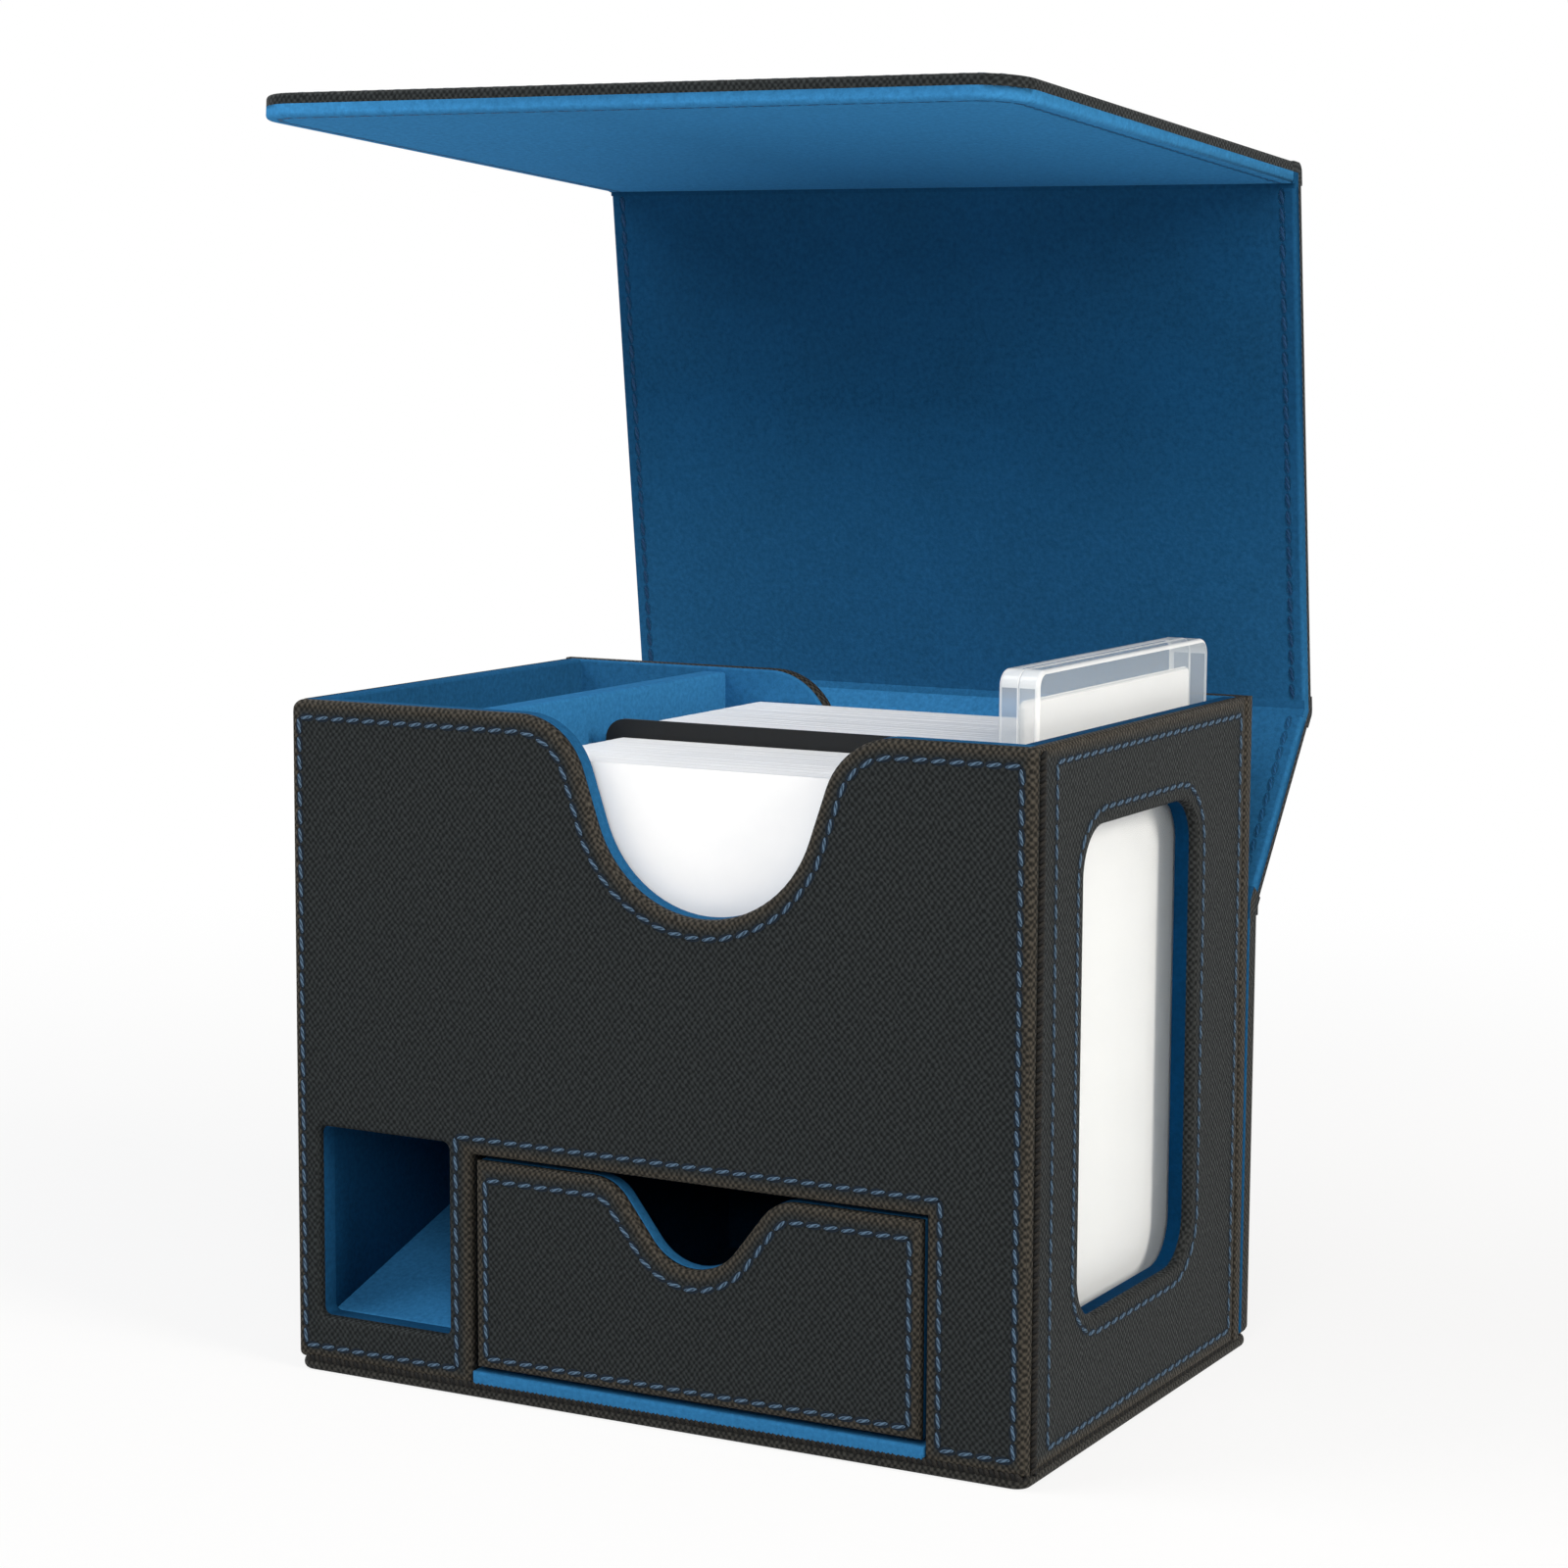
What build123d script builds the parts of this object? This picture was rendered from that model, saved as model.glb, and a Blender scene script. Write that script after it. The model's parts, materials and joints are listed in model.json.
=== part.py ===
# Card storage box: a board box wrapped in leatherette and lined in blue microfibre.
# It holds a dice tower on the left, a card well over a drawer, and a display pocket behind a side window.
# One wrap cover runs from the base up the back, over the top and down the front.
# Millimetres, +Z up, origin at the middle of the box's footprint on the base's underside, front towards -Y.
from build123d import *
import os
from math import cos, radians, sin, tan

# Cards and the display case set the size of the rooms
card_width = 91.0
front_card_height = 66.7
rear_card_height = 68.6
card_corner = 3.0
front_deck_depth = 34.3
rear_deck_depth = 51.3
deck_gap = 0.5
deck_front_clearance = 0.7
deck_side_clearance = 0.7
well_slack = 5.1
card_divider_thick = 1.0
card_divider_rise = 1.5
card_divider_overhang = 1.0
card_divider_corner = 4.0
case_width = 76.0
case_height = 120.0
case_thick = 7.5
case_corner = 3.0
case_side_rim = 1.2
case_bottom_rim = 2.6
case_top_rim = 5.6
case_end_clearance = 6.4
case_seat_clearance = 0.2
case_rim_drop = 1.3
case_lift = 12.8
display_card_thick = 1.0
display_card_clearance = 0.1
pocket_clearance = 0.35

# Boards and linings
base_thick = 2.4
base_round = 3.0
leather_thick = 1.8
leather_round = 1.2
rear_panel_thick = 3.8
front_lining_thick = 3.4
left_lining_thick = 3.2
right_lining_thick = 2.7
rear_lining_thick = 1.2
shelf_lining_thick = 1.5
floor_thick = 2.6
shelf_thick = 3.8
divider_thick = 5.0
divider_drop = 0.9
bay_side_thick = 4.8
pocket_panel_thick = 1.6
pocket_panel_drop = 9.0
rim_above_cards = 6.4

# Dice tower
tower_width = 28.9
mouth_sill = 10.8
mouth_height = 36.2
mouth_side_margin = 0.1
mouth_corner = 1.5
ramp_angle = 17.0
ramp_thick = 2.0
baffle_angle = 40.0
baffle_height = 95.0
baffle_reach_share = 0.55

# Drawer bay and drawer
bay_height = 41.2
bay_lip = 0.8
drawer_side_clearance = 0.9
drawer_top_clearance = 0.9
drawer_front_lift = 0.9
drawer_slide_clearance = 0.3
drawer_rear_clearance = 1.0
drawer_front_thick = 1.6
drawer_front_lining_thick = 3.2
drawer_board = 2.0
drawer_side_drop = 2.5
drawer_lining_thick = 0.8
notch_depth = 14.6
notch_radius = 10.6
notch_shoulder = 8.4
notch_angle = 37.5

# Thumb cuts in the front and rear walls, and the display window
thumb_depth = 34.0
thumb_radius = 22.4
thumb_shoulder = 13.8
thumb_angle = 18.6
thumb_shift = 1.0
window_width = 51.0
window_height = 86.6
window_sill = 23.8
window_front_margin = 21.2
window_corner = 8.5

# Wrap cover
cover_board = 2.0
cover_lining = 2.2
cover_gap = 0.4
lid_gap = 1.6
cover_round = 0.8
crease_height = 86.5
crease_radius = 1.6
crease_clearance = 0.4
strip_angle = 38.5
lid_angle = 7.0
flap_angle = 4.2
right_angle = 90.0
flap_corner = 9.0
flap_floor_gap = 2.6

# Closing magnets
magnet_diameter = 10.0
magnet_thick = 1.4
magnet_clearance = 0.15
magnet_spread = 100.0
magnet_height = 70.0

# Every cut runs past its board by this much
overrun = 1.0

# Places worked out from the sizes above
front_wall = leather_thick + front_lining_thick
left_wall = leather_thick + left_lining_thick
right_wall = leather_thick + right_lining_thick
rear_wall = rear_panel_thick + rear_lining_thick
well_width = well_slack + card_width + deck_side_clearance
pocket_width = case_thick + 2 * pocket_clearance
inner_width = tower_width + divider_thick + well_width + pocket_panel_thick + pocket_width
deck_stack = deck_front_clearance + front_deck_depth + card_divider_thick + rear_deck_depth + 3 * deck_gap
inner_depth = max(deck_stack, case_width + 2 * case_end_clearance)
body_width = left_wall + inner_width + right_wall
body_depth = front_wall + inner_depth + rear_wall

left_x = -body_width / 2
right_x = body_width / 2
front_y = -body_depth / 2
rear_y = body_depth / 2
left_in = left_x + left_wall
right_in = right_x - right_wall
front_in = front_y + front_wall
rear_in = rear_y - rear_wall

tower_right = left_in + tower_width
well_left = tower_right + divider_thick
well_right = well_left + well_width
pocket_left = well_right + pocket_panel_thick
bay_right = well_right - bay_side_thick

bay_floor_top = base_thick + floor_thick
shelf_bottom = bay_floor_top + bay_height
shelf_top = shelf_bottom + shelf_thick
well_floor_top = shelf_top + shelf_lining_thick
opening_top = shelf_bottom - bay_lip
cards_top = well_floor_top + max(front_card_height, rear_card_height)
case_seat = bay_floor_top + case_seat_clearance
body_height = max(cards_top + rim_above_cards, case_seat + case_height + case_rim_drop)

deck_right = well_right - deck_side_clearance
deck_left = deck_right - card_width
front_deck_front = front_in + deck_front_clearance
card_divider_front = front_deck_front + front_deck_depth + deck_gap
rear_deck_front = card_divider_front + card_divider_thick + deck_gap
rear_deck_rear = rear_in - deck_gap

drawer_left = well_left + drawer_side_clearance
drawer_right = bay_right - drawer_side_clearance
drawer_bottom = bay_floor_top + drawer_slide_clearance
drawer_top = opening_top - drawer_top_clearance
drawer_front_back = front_y + drawer_front_thick + drawer_front_lining_thick
drawer_rear = rear_in - drawer_rear_clearance

cover_thick = cover_board + cover_lining
crease_gap = max(cover_thick / 2, crease_radius) + crease_clearance
back_crease_y = rear_y + cover_gap + cover_thick / 2
closed_lid_level = body_height + lid_gap + cover_thick / 2
strip_length = closed_lid_level - crease_height
lid_length = body_depth + 2 * cover_gap + cover_thick
flap_length = closed_lid_level - flap_floor_gap


def slab(x0, x1, y0, y1, z0, z1):
    """A board between two corners."""
    return Pos((x0 + x1) / 2, (y0 + y1) / 2, (z0 + z1) / 2) * Box(x1 - x0, y1 - y0, z1 - z0)


def facing_front(y):
    """Drawing plane with X across and Z up, whose sketches extrude towards the front."""
    return Plane((0, y, 0), x_dir=(1, 0, 0), z_dir=(0, -1, 0))


def facing_right(x):
    """Drawing plane with Y across and Z up, whose sketches extrude towards the right."""
    return Plane((x, 0, 0), x_dir=(0, 1, 0), z_dir=(1, 0, 0))


def finger_cut(centre, top, depth, radius, shoulder, flank_angle):
    """A finger cut in a wall's top edge: a round bottom, straight leaning flanks and two rounded shoulders."""
    lean = radians(flank_angle)
    bends = radius + shoulder
    straight = (depth - bends + bends * sin(lean)) / cos(lean)
    reach = bends * cos(lean) + straight * sin(lean)
    low = Vector(centre, top - depth + radius)
    corners = {}
    for side in (-1, 1):
        hub = Vector(centre + side * reach, top - shoulder)
        outward = Vector(side * cos(lean), -sin(lean))
        tip = hub + Vector(0, shoulder)
        middle = hub + (Vector(0, 1) - outward).normalized() * shoulder
        corners[side] = (tip, middle, hub - outward * shoulder, low + outward * radius)
    (tip_l, mid_l, bend_l, foot_l), (tip_r, mid_r, bend_r, foot_r) = corners[-1], corners[1]
    above = Vector(0, overrun)
    return make_face(
        [
            Line(tip_l + above, tip_l),
            ThreePointArc(tip_l, mid_l, bend_l),
            Line(bend_l, foot_l),
            ThreePointArc(foot_l, Vector(centre, top - depth), foot_r),
            Line(foot_r, bend_r),
            ThreePointArc(bend_r, mid_r, tip_r),
            Line(tip_r, tip_r + above),
            Line(tip_r + above, tip_l + above),
        ]
    )


def rounded_window(x0, x1, z0, z1, corner):
    """A rectangular opening with rounded corners, drawn on a wall's plane."""
    return Pos((x0 + x1) / 2, (z0 + z1) / 2) * RectangleRounded(x1 - x0, z1 - z0, corner)


def thumb_cut():
    """The thumb cut shared by the front and rear walls, near the middle of the card well."""
    centre = (well_left + well_right) / 2 - thumb_shift
    return finger_cut(centre, body_height, thumb_depth, thumb_radius, thumb_shoulder, thumb_angle)


def front_openings():
    """Thumb cut, tower mouth and drawer opening, shared by the front panel and its lining."""
    mouth = rounded_window(
        left_in + mouth_side_margin,
        tower_right - mouth_side_margin,
        mouth_sill,
        mouth_sill + mouth_height,
        mouth_corner,
    )
    drawer_low = base_thick - overrun
    drawer = Pos((well_left + bay_right) / 2, (drawer_low + opening_top) / 2) * Rectangle(
        bay_right - well_left, opening_top - drawer_low
    )
    return [thumb_cut(), mouth, drawer]


def cut_through_front(board, faces, y0, y1):
    """Cut openings drawn in X and Z through a board that lies between two depths."""
    for face in faces:
        board -= extrude(facing_front(y1 + overrun) * face, amount=y1 - y0 + 2 * overrun)
    return board


def cut_through_side(board, face, x0, x1):
    """Cut an opening drawn in Y and Z through a board that lies between two widths."""
    return board - extrude(facing_right(x0 - overrun) * face, amount=x1 - x0 + 2 * overrun)


def round_corners(board, axis, order, count, radius):
    """Round a board's edges along one axis: the first few, sorted along another axis."""
    return fillet(board.edges().filter_by(axis).sort_by(order)[:count], radius)


def magnet_places():
    """The two places across the box where magnets face each other."""
    return [-magnet_spread / 2, magnet_spread / 2]


def base_panel():
    """The cover's bottom panel, which carries the box and the back panel."""
    plate = slab(left_x, right_x, front_y, rear_y + cover_gap + cover_thick, 0, base_thick)
    return fillet(plate.edges().filter_by(Axis.Z), base_round)


def back_panel():
    """The cover's fixed back panel, up to the back crease."""
    top = crease_height - crease_gap
    outer = rear_y + cover_gap + cover_thick
    return slab(left_x, right_x, outer - cover_board, outer, base_thick, top)


def back_lining():
    """The lining glued between the back panel and the rear wall."""
    top = crease_height - crease_gap
    return slab(left_x, right_x, rear_y, rear_y + cover_gap + cover_lining, base_thick, top)


def front_panel():
    """Leatherette face of the front wall with the thumb cut, tower mouth and drawer opening."""
    y0, y1 = front_y, front_y + leather_thick
    board = slab(left_x, right_x, y0, y1, base_thick, body_height)
    board = round_corners(board, Axis.Z, Axis.Y, 2, leather_round)
    return cut_through_front(board, front_openings(), y0, y1)


def front_lining():
    """Lined inner board of the front wall, with the same openings and two magnet pockets behind the face."""
    y0, y1 = front_y + leather_thick, front_in
    board = slab(left_x + leather_thick, right_x - leather_thick, y0, y1, base_thick, body_height)
    board = cut_through_front(board, front_openings(), y0, y1)
    for x in magnet_places():
        pocket = Pos(x, magnet_height) * Circle(magnet_diameter / 2 + magnet_clearance)
        board -= extrude(facing_front(y0 + magnet_thick) * pocket, amount=magnet_thick)
    return board


def rear_panel():
    """Wrapped rear wall with its own thumb cut."""
    y0, y1 = rear_y - rear_panel_thick, rear_y
    board = slab(left_x, right_x, y0, y1, base_thick, body_height)
    return cut_through_front(board, [thumb_cut()], y0, y1)


def rear_lining():
    """Lining of the rear wall, with the same thumb cut."""
    y0, y1 = rear_in, rear_y - rear_panel_thick
    board = slab(left_x + leather_thick, right_x - leather_thick, y0, y1, base_thick, body_height)
    return cut_through_front(board, [thumb_cut()], y0, y1)


def side_span():
    """Where the leatherette faces of the side walls start and end, between the front and rear walls."""
    return front_y + leather_thick, rear_y - rear_panel_thick


def left_panel():
    """Leatherette face of the left wall."""
    y0, y1 = side_span()
    return slab(left_x, left_x + leather_thick, y0, y1, base_thick, body_height)


def left_lining():
    """Lined inner board of the left wall."""
    return slab(left_x + leather_thick, left_in, front_in, rear_in, base_thick, body_height)


def window():
    """The display window in the right wall."""
    y0 = front_y + window_front_margin
    return rounded_window(y0, y0 + window_width, window_sill, window_sill + window_height, window_corner)


def right_panel():
    """Leatherette face of the right wall with the display window."""
    x0, x1 = right_x - leather_thick, right_x
    y0, y1 = side_span()
    board = slab(x0, x1, y0, y1, base_thick, body_height)
    return cut_through_side(board, window(), x0, x1)


def right_lining():
    """Lined inner board of the right wall, with the same window."""
    x0, x1 = right_in, right_x - leather_thick
    board = slab(x0, x1, front_in, rear_in, base_thick, body_height)
    return cut_through_side(board, window(), x0, x1)


def tower_divider():
    """Lined board between the dice tower and the rooms to its right."""
    return slab(tower_right, well_left, front_in, rear_in, base_thick, body_height - divider_drop)


def sloping_board(y0, z0, y1, z1, thick, slope):
    """A board across the dice tower whose top runs from one point to another in Y and Z."""
    drop = thick / cos(radians(slope))
    outline = make_face(Polyline((y0, z0), (y1, z1), (y1, z1 - drop), (y0, z0 - drop), close=True))
    return extrude(facing_right(left_in) * outline, amount=tower_width)


def tower_ramp():
    """The ramp that rolls dice out of the mouth, rising to the rear wall."""
    climb = inner_depth * tan(radians(ramp_angle))
    return sloping_board(front_in, mouth_sill, rear_in, mouth_sill + climb, ramp_thick, ramp_angle)


def tower_baffle():
    """The upper baffle that throws dice to the back of the tower."""
    reach = inner_depth * baffle_reach_share
    low = baffle_height - reach * tan(radians(baffle_angle))
    return sloping_board(front_in, baffle_height, front_in + reach, low, ramp_thick, baffle_angle)


def well_floor():
    """Shelf over the drawer bay that carries the cards."""
    return slab(well_left, well_right, front_in, rear_in, shelf_bottom, shelf_top)


def well_floor_lining():
    """Lining on the shelf."""
    return slab(well_left, well_right, front_in, rear_in, shelf_top, well_floor_top)


def bay_floor():
    """Lined board that the drawer slides on, showing its front edge below the drawer."""
    return slab(well_left, bay_right, front_y, rear_in, base_thick, bay_floor_top)


def bay_side():
    """Right wall of the drawer bay, which also carries the shelf."""
    return slab(bay_right, well_right, front_in, rear_in, base_thick, shelf_bottom)


def pocket_panel():
    """Thin wall between the card well and the display pocket."""
    return slab(well_right, pocket_left, front_in, rear_in, base_thick, body_height - pocket_panel_drop)


def pocket_floor():
    """Lined board at the bottom of the display pocket."""
    return slab(pocket_left, right_in, front_in, rear_in, base_thick, bay_floor_top)


def front_magnets():
    """Two disc magnets sunk in the front wall behind its face."""
    plane = facing_front(front_y + leather_thick + magnet_thick)
    disc = Circle(magnet_diameter / 2)
    return Compound(
        [extrude(plane * Pos(x, magnet_height) * disc, amount=magnet_thick) for x in magnet_places()]
    )


def drawer_notch():
    """The finger notch in the drawer's front."""
    centre = (drawer_left + drawer_right) / 2
    return finger_cut(centre, drawer_top, notch_depth, notch_radius, notch_shoulder, notch_angle)


def drawer_front():
    """The drawer's wrapped front, flush with the front wall."""
    y0, y1 = front_y, front_y + drawer_front_thick
    board = slab(drawer_left, drawer_right, y0, y1, bay_floor_top + drawer_front_lift, drawer_top)
    return cut_through_front(board, [drawer_notch()], y0, y1)


def drawer_front_lining():
    """Lining behind the drawer's front, with the same notch."""
    y0, y1 = front_y + drawer_front_thick, drawer_front_back
    board = slab(drawer_left, drawer_right, y0, y1, bay_floor_top + drawer_front_lift, drawer_top)
    return cut_through_front(board, [drawer_notch()], y0, y1)


def drawer_side(x0):
    """One of the drawer's two side boards."""
    low = drawer_bottom + drawer_board
    return slab(x0, x0 + drawer_board, drawer_front_back, drawer_rear, low, drawer_top - drawer_side_drop)


def drawer_back():
    """The drawer's back board, between its sides."""
    x0, x1 = drawer_left + drawer_board, drawer_right - drawer_board
    low = drawer_bottom + drawer_board
    return slab(x0, x1, drawer_rear - drawer_board, drawer_rear, low, drawer_top - drawer_side_drop)


def drawer_floor():
    """The drawer's bottom board, which slides on the bay floor."""
    return slab(
        drawer_left, drawer_right, drawer_front_back, drawer_rear, drawer_bottom, drawer_bottom + drawer_board
    )


def drawer_floor_lining():
    """Lining on the drawer's bottom board."""
    low = drawer_bottom + drawer_board
    return slab(
        drawer_left + drawer_board,
        drawer_right - drawer_board,
        drawer_front_back,
        drawer_rear - drawer_board,
        low,
        low + drawer_lining_thick,
    )


def cover_axes():
    """The three crease axes in Y and Z with the cover open: back, lid and flap."""
    back = Vector(0, back_crease_y, crease_height)
    lid = back + along(-strip_angle) * strip_length
    flap = lid + along(lid_angle) * lid_length
    return back, lid, flap


def along(lean):
    """Direction of a cover panel away from its crease, leaning forward from upright."""
    return Vector(0, -sin(radians(lean)), cos(radians(lean)))


def cover_plane(axis, lean):
    """Plane of a cover panel: its Y runs from its crease, and its Z points out of the box."""
    outward = Vector(0, cos(radians(lean)), sin(radians(lean)))
    return Plane(axis, x_dir=(-1, 0, 0), z_dir=outward)


def cover_layer(length, n0, n1, far_gap, corner):
    """One layer of a cover panel, lying flat, between two depths through its thickness."""
    low, high = crease_gap, length - far_gap
    sheet = Pos(0, (low + high) / 2) * Rectangle(body_width, high - low)
    if corner > 0:
        sheet = fillet(sheet.vertices().group_by(Axis.Y)[-1], corner)
    return extrude(Plane.XY.offset(n0) * sheet, amount=n1 - n0)


def cover_panel(axis, lean, length, far_gap, corner=0):
    """The wrapped board of a cover panel, rounded along each outer edge that isn't a crease."""
    board = cover_layer(length, cover_lining - cover_thick / 2, cover_thick / 2, far_gap, corner)
    outer_edges = board.faces().sort_by(Axis.Z)[-1].edges().sort_by(Axis.Y)
    free_edges = outer_edges[1:-1] if far_gap > 0 else outer_edges[1:]
    return cover_plane(axis, lean) * fillet(free_edges, cover_round)


def cover_panel_lining(axis, lean, length, far_gap, corner=0):
    """The lining of a cover panel."""
    sheet = cover_layer(length, -cover_thick / 2, cover_lining - cover_thick / 2, far_gap, corner)
    return cover_plane(axis, lean) * sheet


def crease(axis, lean):
    """A rolled crease along its axis, with the web that joins it to the panel before it."""
    plane = Plane(axis, x_dir=along(lean), z_dir=(1, 0, 0))
    web = Pos(-crease_gap / 2, 0) * Rectangle(crease_gap, 2 * crease_radius)
    return extrude(plane * (web + Circle(crease_radius)), amount=body_width / 2, both=True)


def flap_lean():
    """The flap's lean from upright: a right angle less its rise."""
    return right_angle - flap_angle


def flap_magnet_reach():
    """Distance from the flap's crease to its magnets, which face the front wall's when closed."""
    return closed_lid_level - magnet_height


def flap_panel():
    """The flap's wrapped board, with pockets for its magnets on the lining side."""
    axis = cover_axes()[2]
    board = cover_panel(axis, flap_lean(), flap_length, 0, flap_corner)
    inner = cover_lining - cover_thick / 2
    plane = cover_plane(axis, flap_lean()).offset(inner)
    for x in magnet_places():
        pocket = Pos(x, flap_magnet_reach()) * Circle(magnet_diameter / 2 + magnet_clearance)
        board -= extrude(plane * pocket, amount=magnet_thick)
    return board


def flap_magnets():
    """Two disc magnets sunk in the flap's board under its lining."""
    inner = cover_lining - cover_thick / 2
    plane = cover_plane(cover_axes()[2], flap_lean()).offset(inner)
    disc = Circle(magnet_diameter / 2)
    return Compound(
        [extrude(plane * Pos(x, flap_magnet_reach()) * disc, amount=magnet_thick) for x in magnet_places()]
    )


def card_block(x0, x1, y0, y1, height, corner):
    """A block of upright cards, or one card, standing on the well's floor."""
    face = rounded_window(x0, x1, well_floor_top, well_floor_top + height, corner)
    return extrude(facing_front(y1) * face, amount=y1 - y0)


def case_face(margin_side, margin_bottom, margin_top, corner):
    """The display case's outline, or its card's, in Y and Z where the case is shown drawn up."""
    middle = (front_in + rear_in) / 2
    reach = case_width / 2 - margin_side
    z0 = case_seat + case_lift + margin_bottom
    z1 = case_seat + case_lift + case_height - margin_top
    return rounded_window(middle - reach, middle + reach, z0, z1, corner)


def case_half(x0, hollow_x):
    """One half of the clear case, hollowed on its mating face for the card."""
    block = extrude(facing_right(x0) * case_face(0, 0, 0, case_corner), amount=case_thick / 2)
    depth = display_card_thick / 2 + display_card_clearance
    room = case_face(case_side_rim, case_bottom_rim, case_top_rim, case_side_rim)
    return block - extrude(facing_right(hollow_x) * room, amount=depth)


def display_card():
    """The blank card in the display case."""
    x0 = pocket_left + pocket_clearance + case_thick / 2 - display_card_thick / 2
    edge = display_card_clearance
    face = case_face(case_side_rim + edge, case_bottom_rim, case_top_rim + edge, case_side_rim)
    return extrude(facing_right(x0) * face, amount=display_card_thick)


def build():
    """Every piece by name."""
    back, lid, flap = cover_axes()
    case_left = pocket_left + pocket_clearance
    case_middle = case_left + case_thick / 2
    card_room = display_card_thick / 2 + display_card_clearance
    return {
        "base_panel": base_panel(),
        "back_panel": back_panel(),
        "back_lining": back_lining(),
        "front_panel": front_panel(),
        "front_lining": front_lining(),
        "rear_panel": rear_panel(),
        "rear_lining": rear_lining(),
        "left_panel": left_panel(),
        "left_lining": left_lining(),
        "right_panel": right_panel(),
        "right_lining": right_lining(),
        "tower_divider": tower_divider(),
        "tower_ramp": tower_ramp(),
        "tower_baffle": tower_baffle(),
        "well_floor": well_floor(),
        "well_floor_lining": well_floor_lining(),
        "bay_floor": bay_floor(),
        "bay_side": bay_side(),
        "pocket_panel": pocket_panel(),
        "pocket_floor": pocket_floor(),
        "front_magnets": front_magnets(),
        "drawer_front": drawer_front(),
        "drawer_front_lining": drawer_front_lining(),
        "drawer_left_side": drawer_side(drawer_left),
        "drawer_right_side": drawer_side(drawer_right - drawer_board),
        "drawer_back": drawer_back(),
        "drawer_floor": drawer_floor(),
        "drawer_floor_lining": drawer_floor_lining(),
        "back_crease": crease(back, 0),
        "strip_panel": cover_panel(back, -strip_angle, strip_length, crease_gap),
        "strip_lining": cover_panel_lining(back, -strip_angle, strip_length, crease_gap),
        "lid_crease": crease(lid, -strip_angle),
        "lid_panel": cover_panel(lid, lid_angle, lid_length, crease_gap),
        "lid_lining": cover_panel_lining(lid, lid_angle, lid_length, crease_gap),
        "flap_crease": crease(flap, lid_angle),
        "flap_panel": flap_panel(),
        "flap_lining": cover_panel_lining(flap, flap_lean(), flap_length, 0, flap_corner),
        "flap_magnets": flap_magnets(),
        "case_inner_half": case_half(case_left, case_middle - card_room),
        "case_outer_half": case_half(case_middle, case_middle),
        "display_card": display_card(),
        "card_divider": card_block(
            deck_left - card_divider_overhang,
            deck_right,
            card_divider_front,
            card_divider_front + card_divider_thick,
            rear_card_height + card_divider_rise,
            card_divider_corner,
        ),
        "front_deck": card_block(
            deck_left,
            deck_right,
            front_deck_front,
            front_deck_front + front_deck_depth,
            front_card_height,
            card_corner,
        ),
        "rear_deck": card_block(
            deck_left,
            deck_right,
            rear_deck_front,
            rear_deck_rear,
            rear_card_height,
            card_corner,
        ),
    }


os.makedirs("parts", exist_ok=True)
for node, shape in build().items():
    export_step(shape, f"parts/{node}.step")
print("body", body_width, body_depth, body_height)
print("creases", [tuple(round(v, 3) for v in axis) for axis in cover_axes()])
print("cover lengths", strip_length, lid_length, flap_length)
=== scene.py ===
import json
from math import atan2, copysign, cos, degrees, pi, radians, sin, tan
from random import Random

import bmesh
import bpy
from bmesh.types import BMFace, BMVert
from mathutils import Matrix, Vector
from numpy import interp
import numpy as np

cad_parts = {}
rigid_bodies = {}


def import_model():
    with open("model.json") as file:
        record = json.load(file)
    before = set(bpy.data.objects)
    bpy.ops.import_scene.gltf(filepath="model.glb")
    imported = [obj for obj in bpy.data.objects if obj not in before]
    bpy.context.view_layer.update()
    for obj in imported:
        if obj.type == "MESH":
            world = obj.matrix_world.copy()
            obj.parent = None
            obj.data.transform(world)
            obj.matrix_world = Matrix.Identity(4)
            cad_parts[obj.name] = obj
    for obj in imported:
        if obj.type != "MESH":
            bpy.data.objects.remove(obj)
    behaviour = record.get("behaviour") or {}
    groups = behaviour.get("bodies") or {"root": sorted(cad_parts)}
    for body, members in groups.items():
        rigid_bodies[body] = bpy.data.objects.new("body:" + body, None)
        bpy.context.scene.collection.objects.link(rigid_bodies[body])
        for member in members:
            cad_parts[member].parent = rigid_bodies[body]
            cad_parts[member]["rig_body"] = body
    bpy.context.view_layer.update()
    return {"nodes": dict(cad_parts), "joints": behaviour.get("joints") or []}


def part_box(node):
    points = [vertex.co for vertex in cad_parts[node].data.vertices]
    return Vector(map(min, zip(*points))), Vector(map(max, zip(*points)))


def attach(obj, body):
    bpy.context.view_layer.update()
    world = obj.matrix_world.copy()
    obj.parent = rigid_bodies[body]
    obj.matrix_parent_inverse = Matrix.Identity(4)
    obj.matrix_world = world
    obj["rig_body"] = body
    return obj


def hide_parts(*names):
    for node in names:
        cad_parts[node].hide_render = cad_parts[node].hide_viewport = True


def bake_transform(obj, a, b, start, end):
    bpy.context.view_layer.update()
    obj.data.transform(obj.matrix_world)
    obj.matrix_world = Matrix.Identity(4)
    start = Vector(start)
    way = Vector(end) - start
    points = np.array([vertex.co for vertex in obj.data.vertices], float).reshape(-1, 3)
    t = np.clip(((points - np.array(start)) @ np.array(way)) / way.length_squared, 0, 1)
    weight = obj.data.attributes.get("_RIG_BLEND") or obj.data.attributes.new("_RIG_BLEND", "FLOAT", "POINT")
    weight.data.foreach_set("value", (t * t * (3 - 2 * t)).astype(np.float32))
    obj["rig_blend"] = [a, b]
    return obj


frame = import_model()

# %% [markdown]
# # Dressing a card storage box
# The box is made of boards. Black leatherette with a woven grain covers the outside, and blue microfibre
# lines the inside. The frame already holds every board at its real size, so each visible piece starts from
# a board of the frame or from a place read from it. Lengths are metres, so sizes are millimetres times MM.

MM = 0.001
LEFT, RIGHT = Vector((-1, 0, 0)), Vector((1, 0, 0))
FRONT, BACK = Vector((0, -1, 0)), Vector((0, 1, 0))
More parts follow.
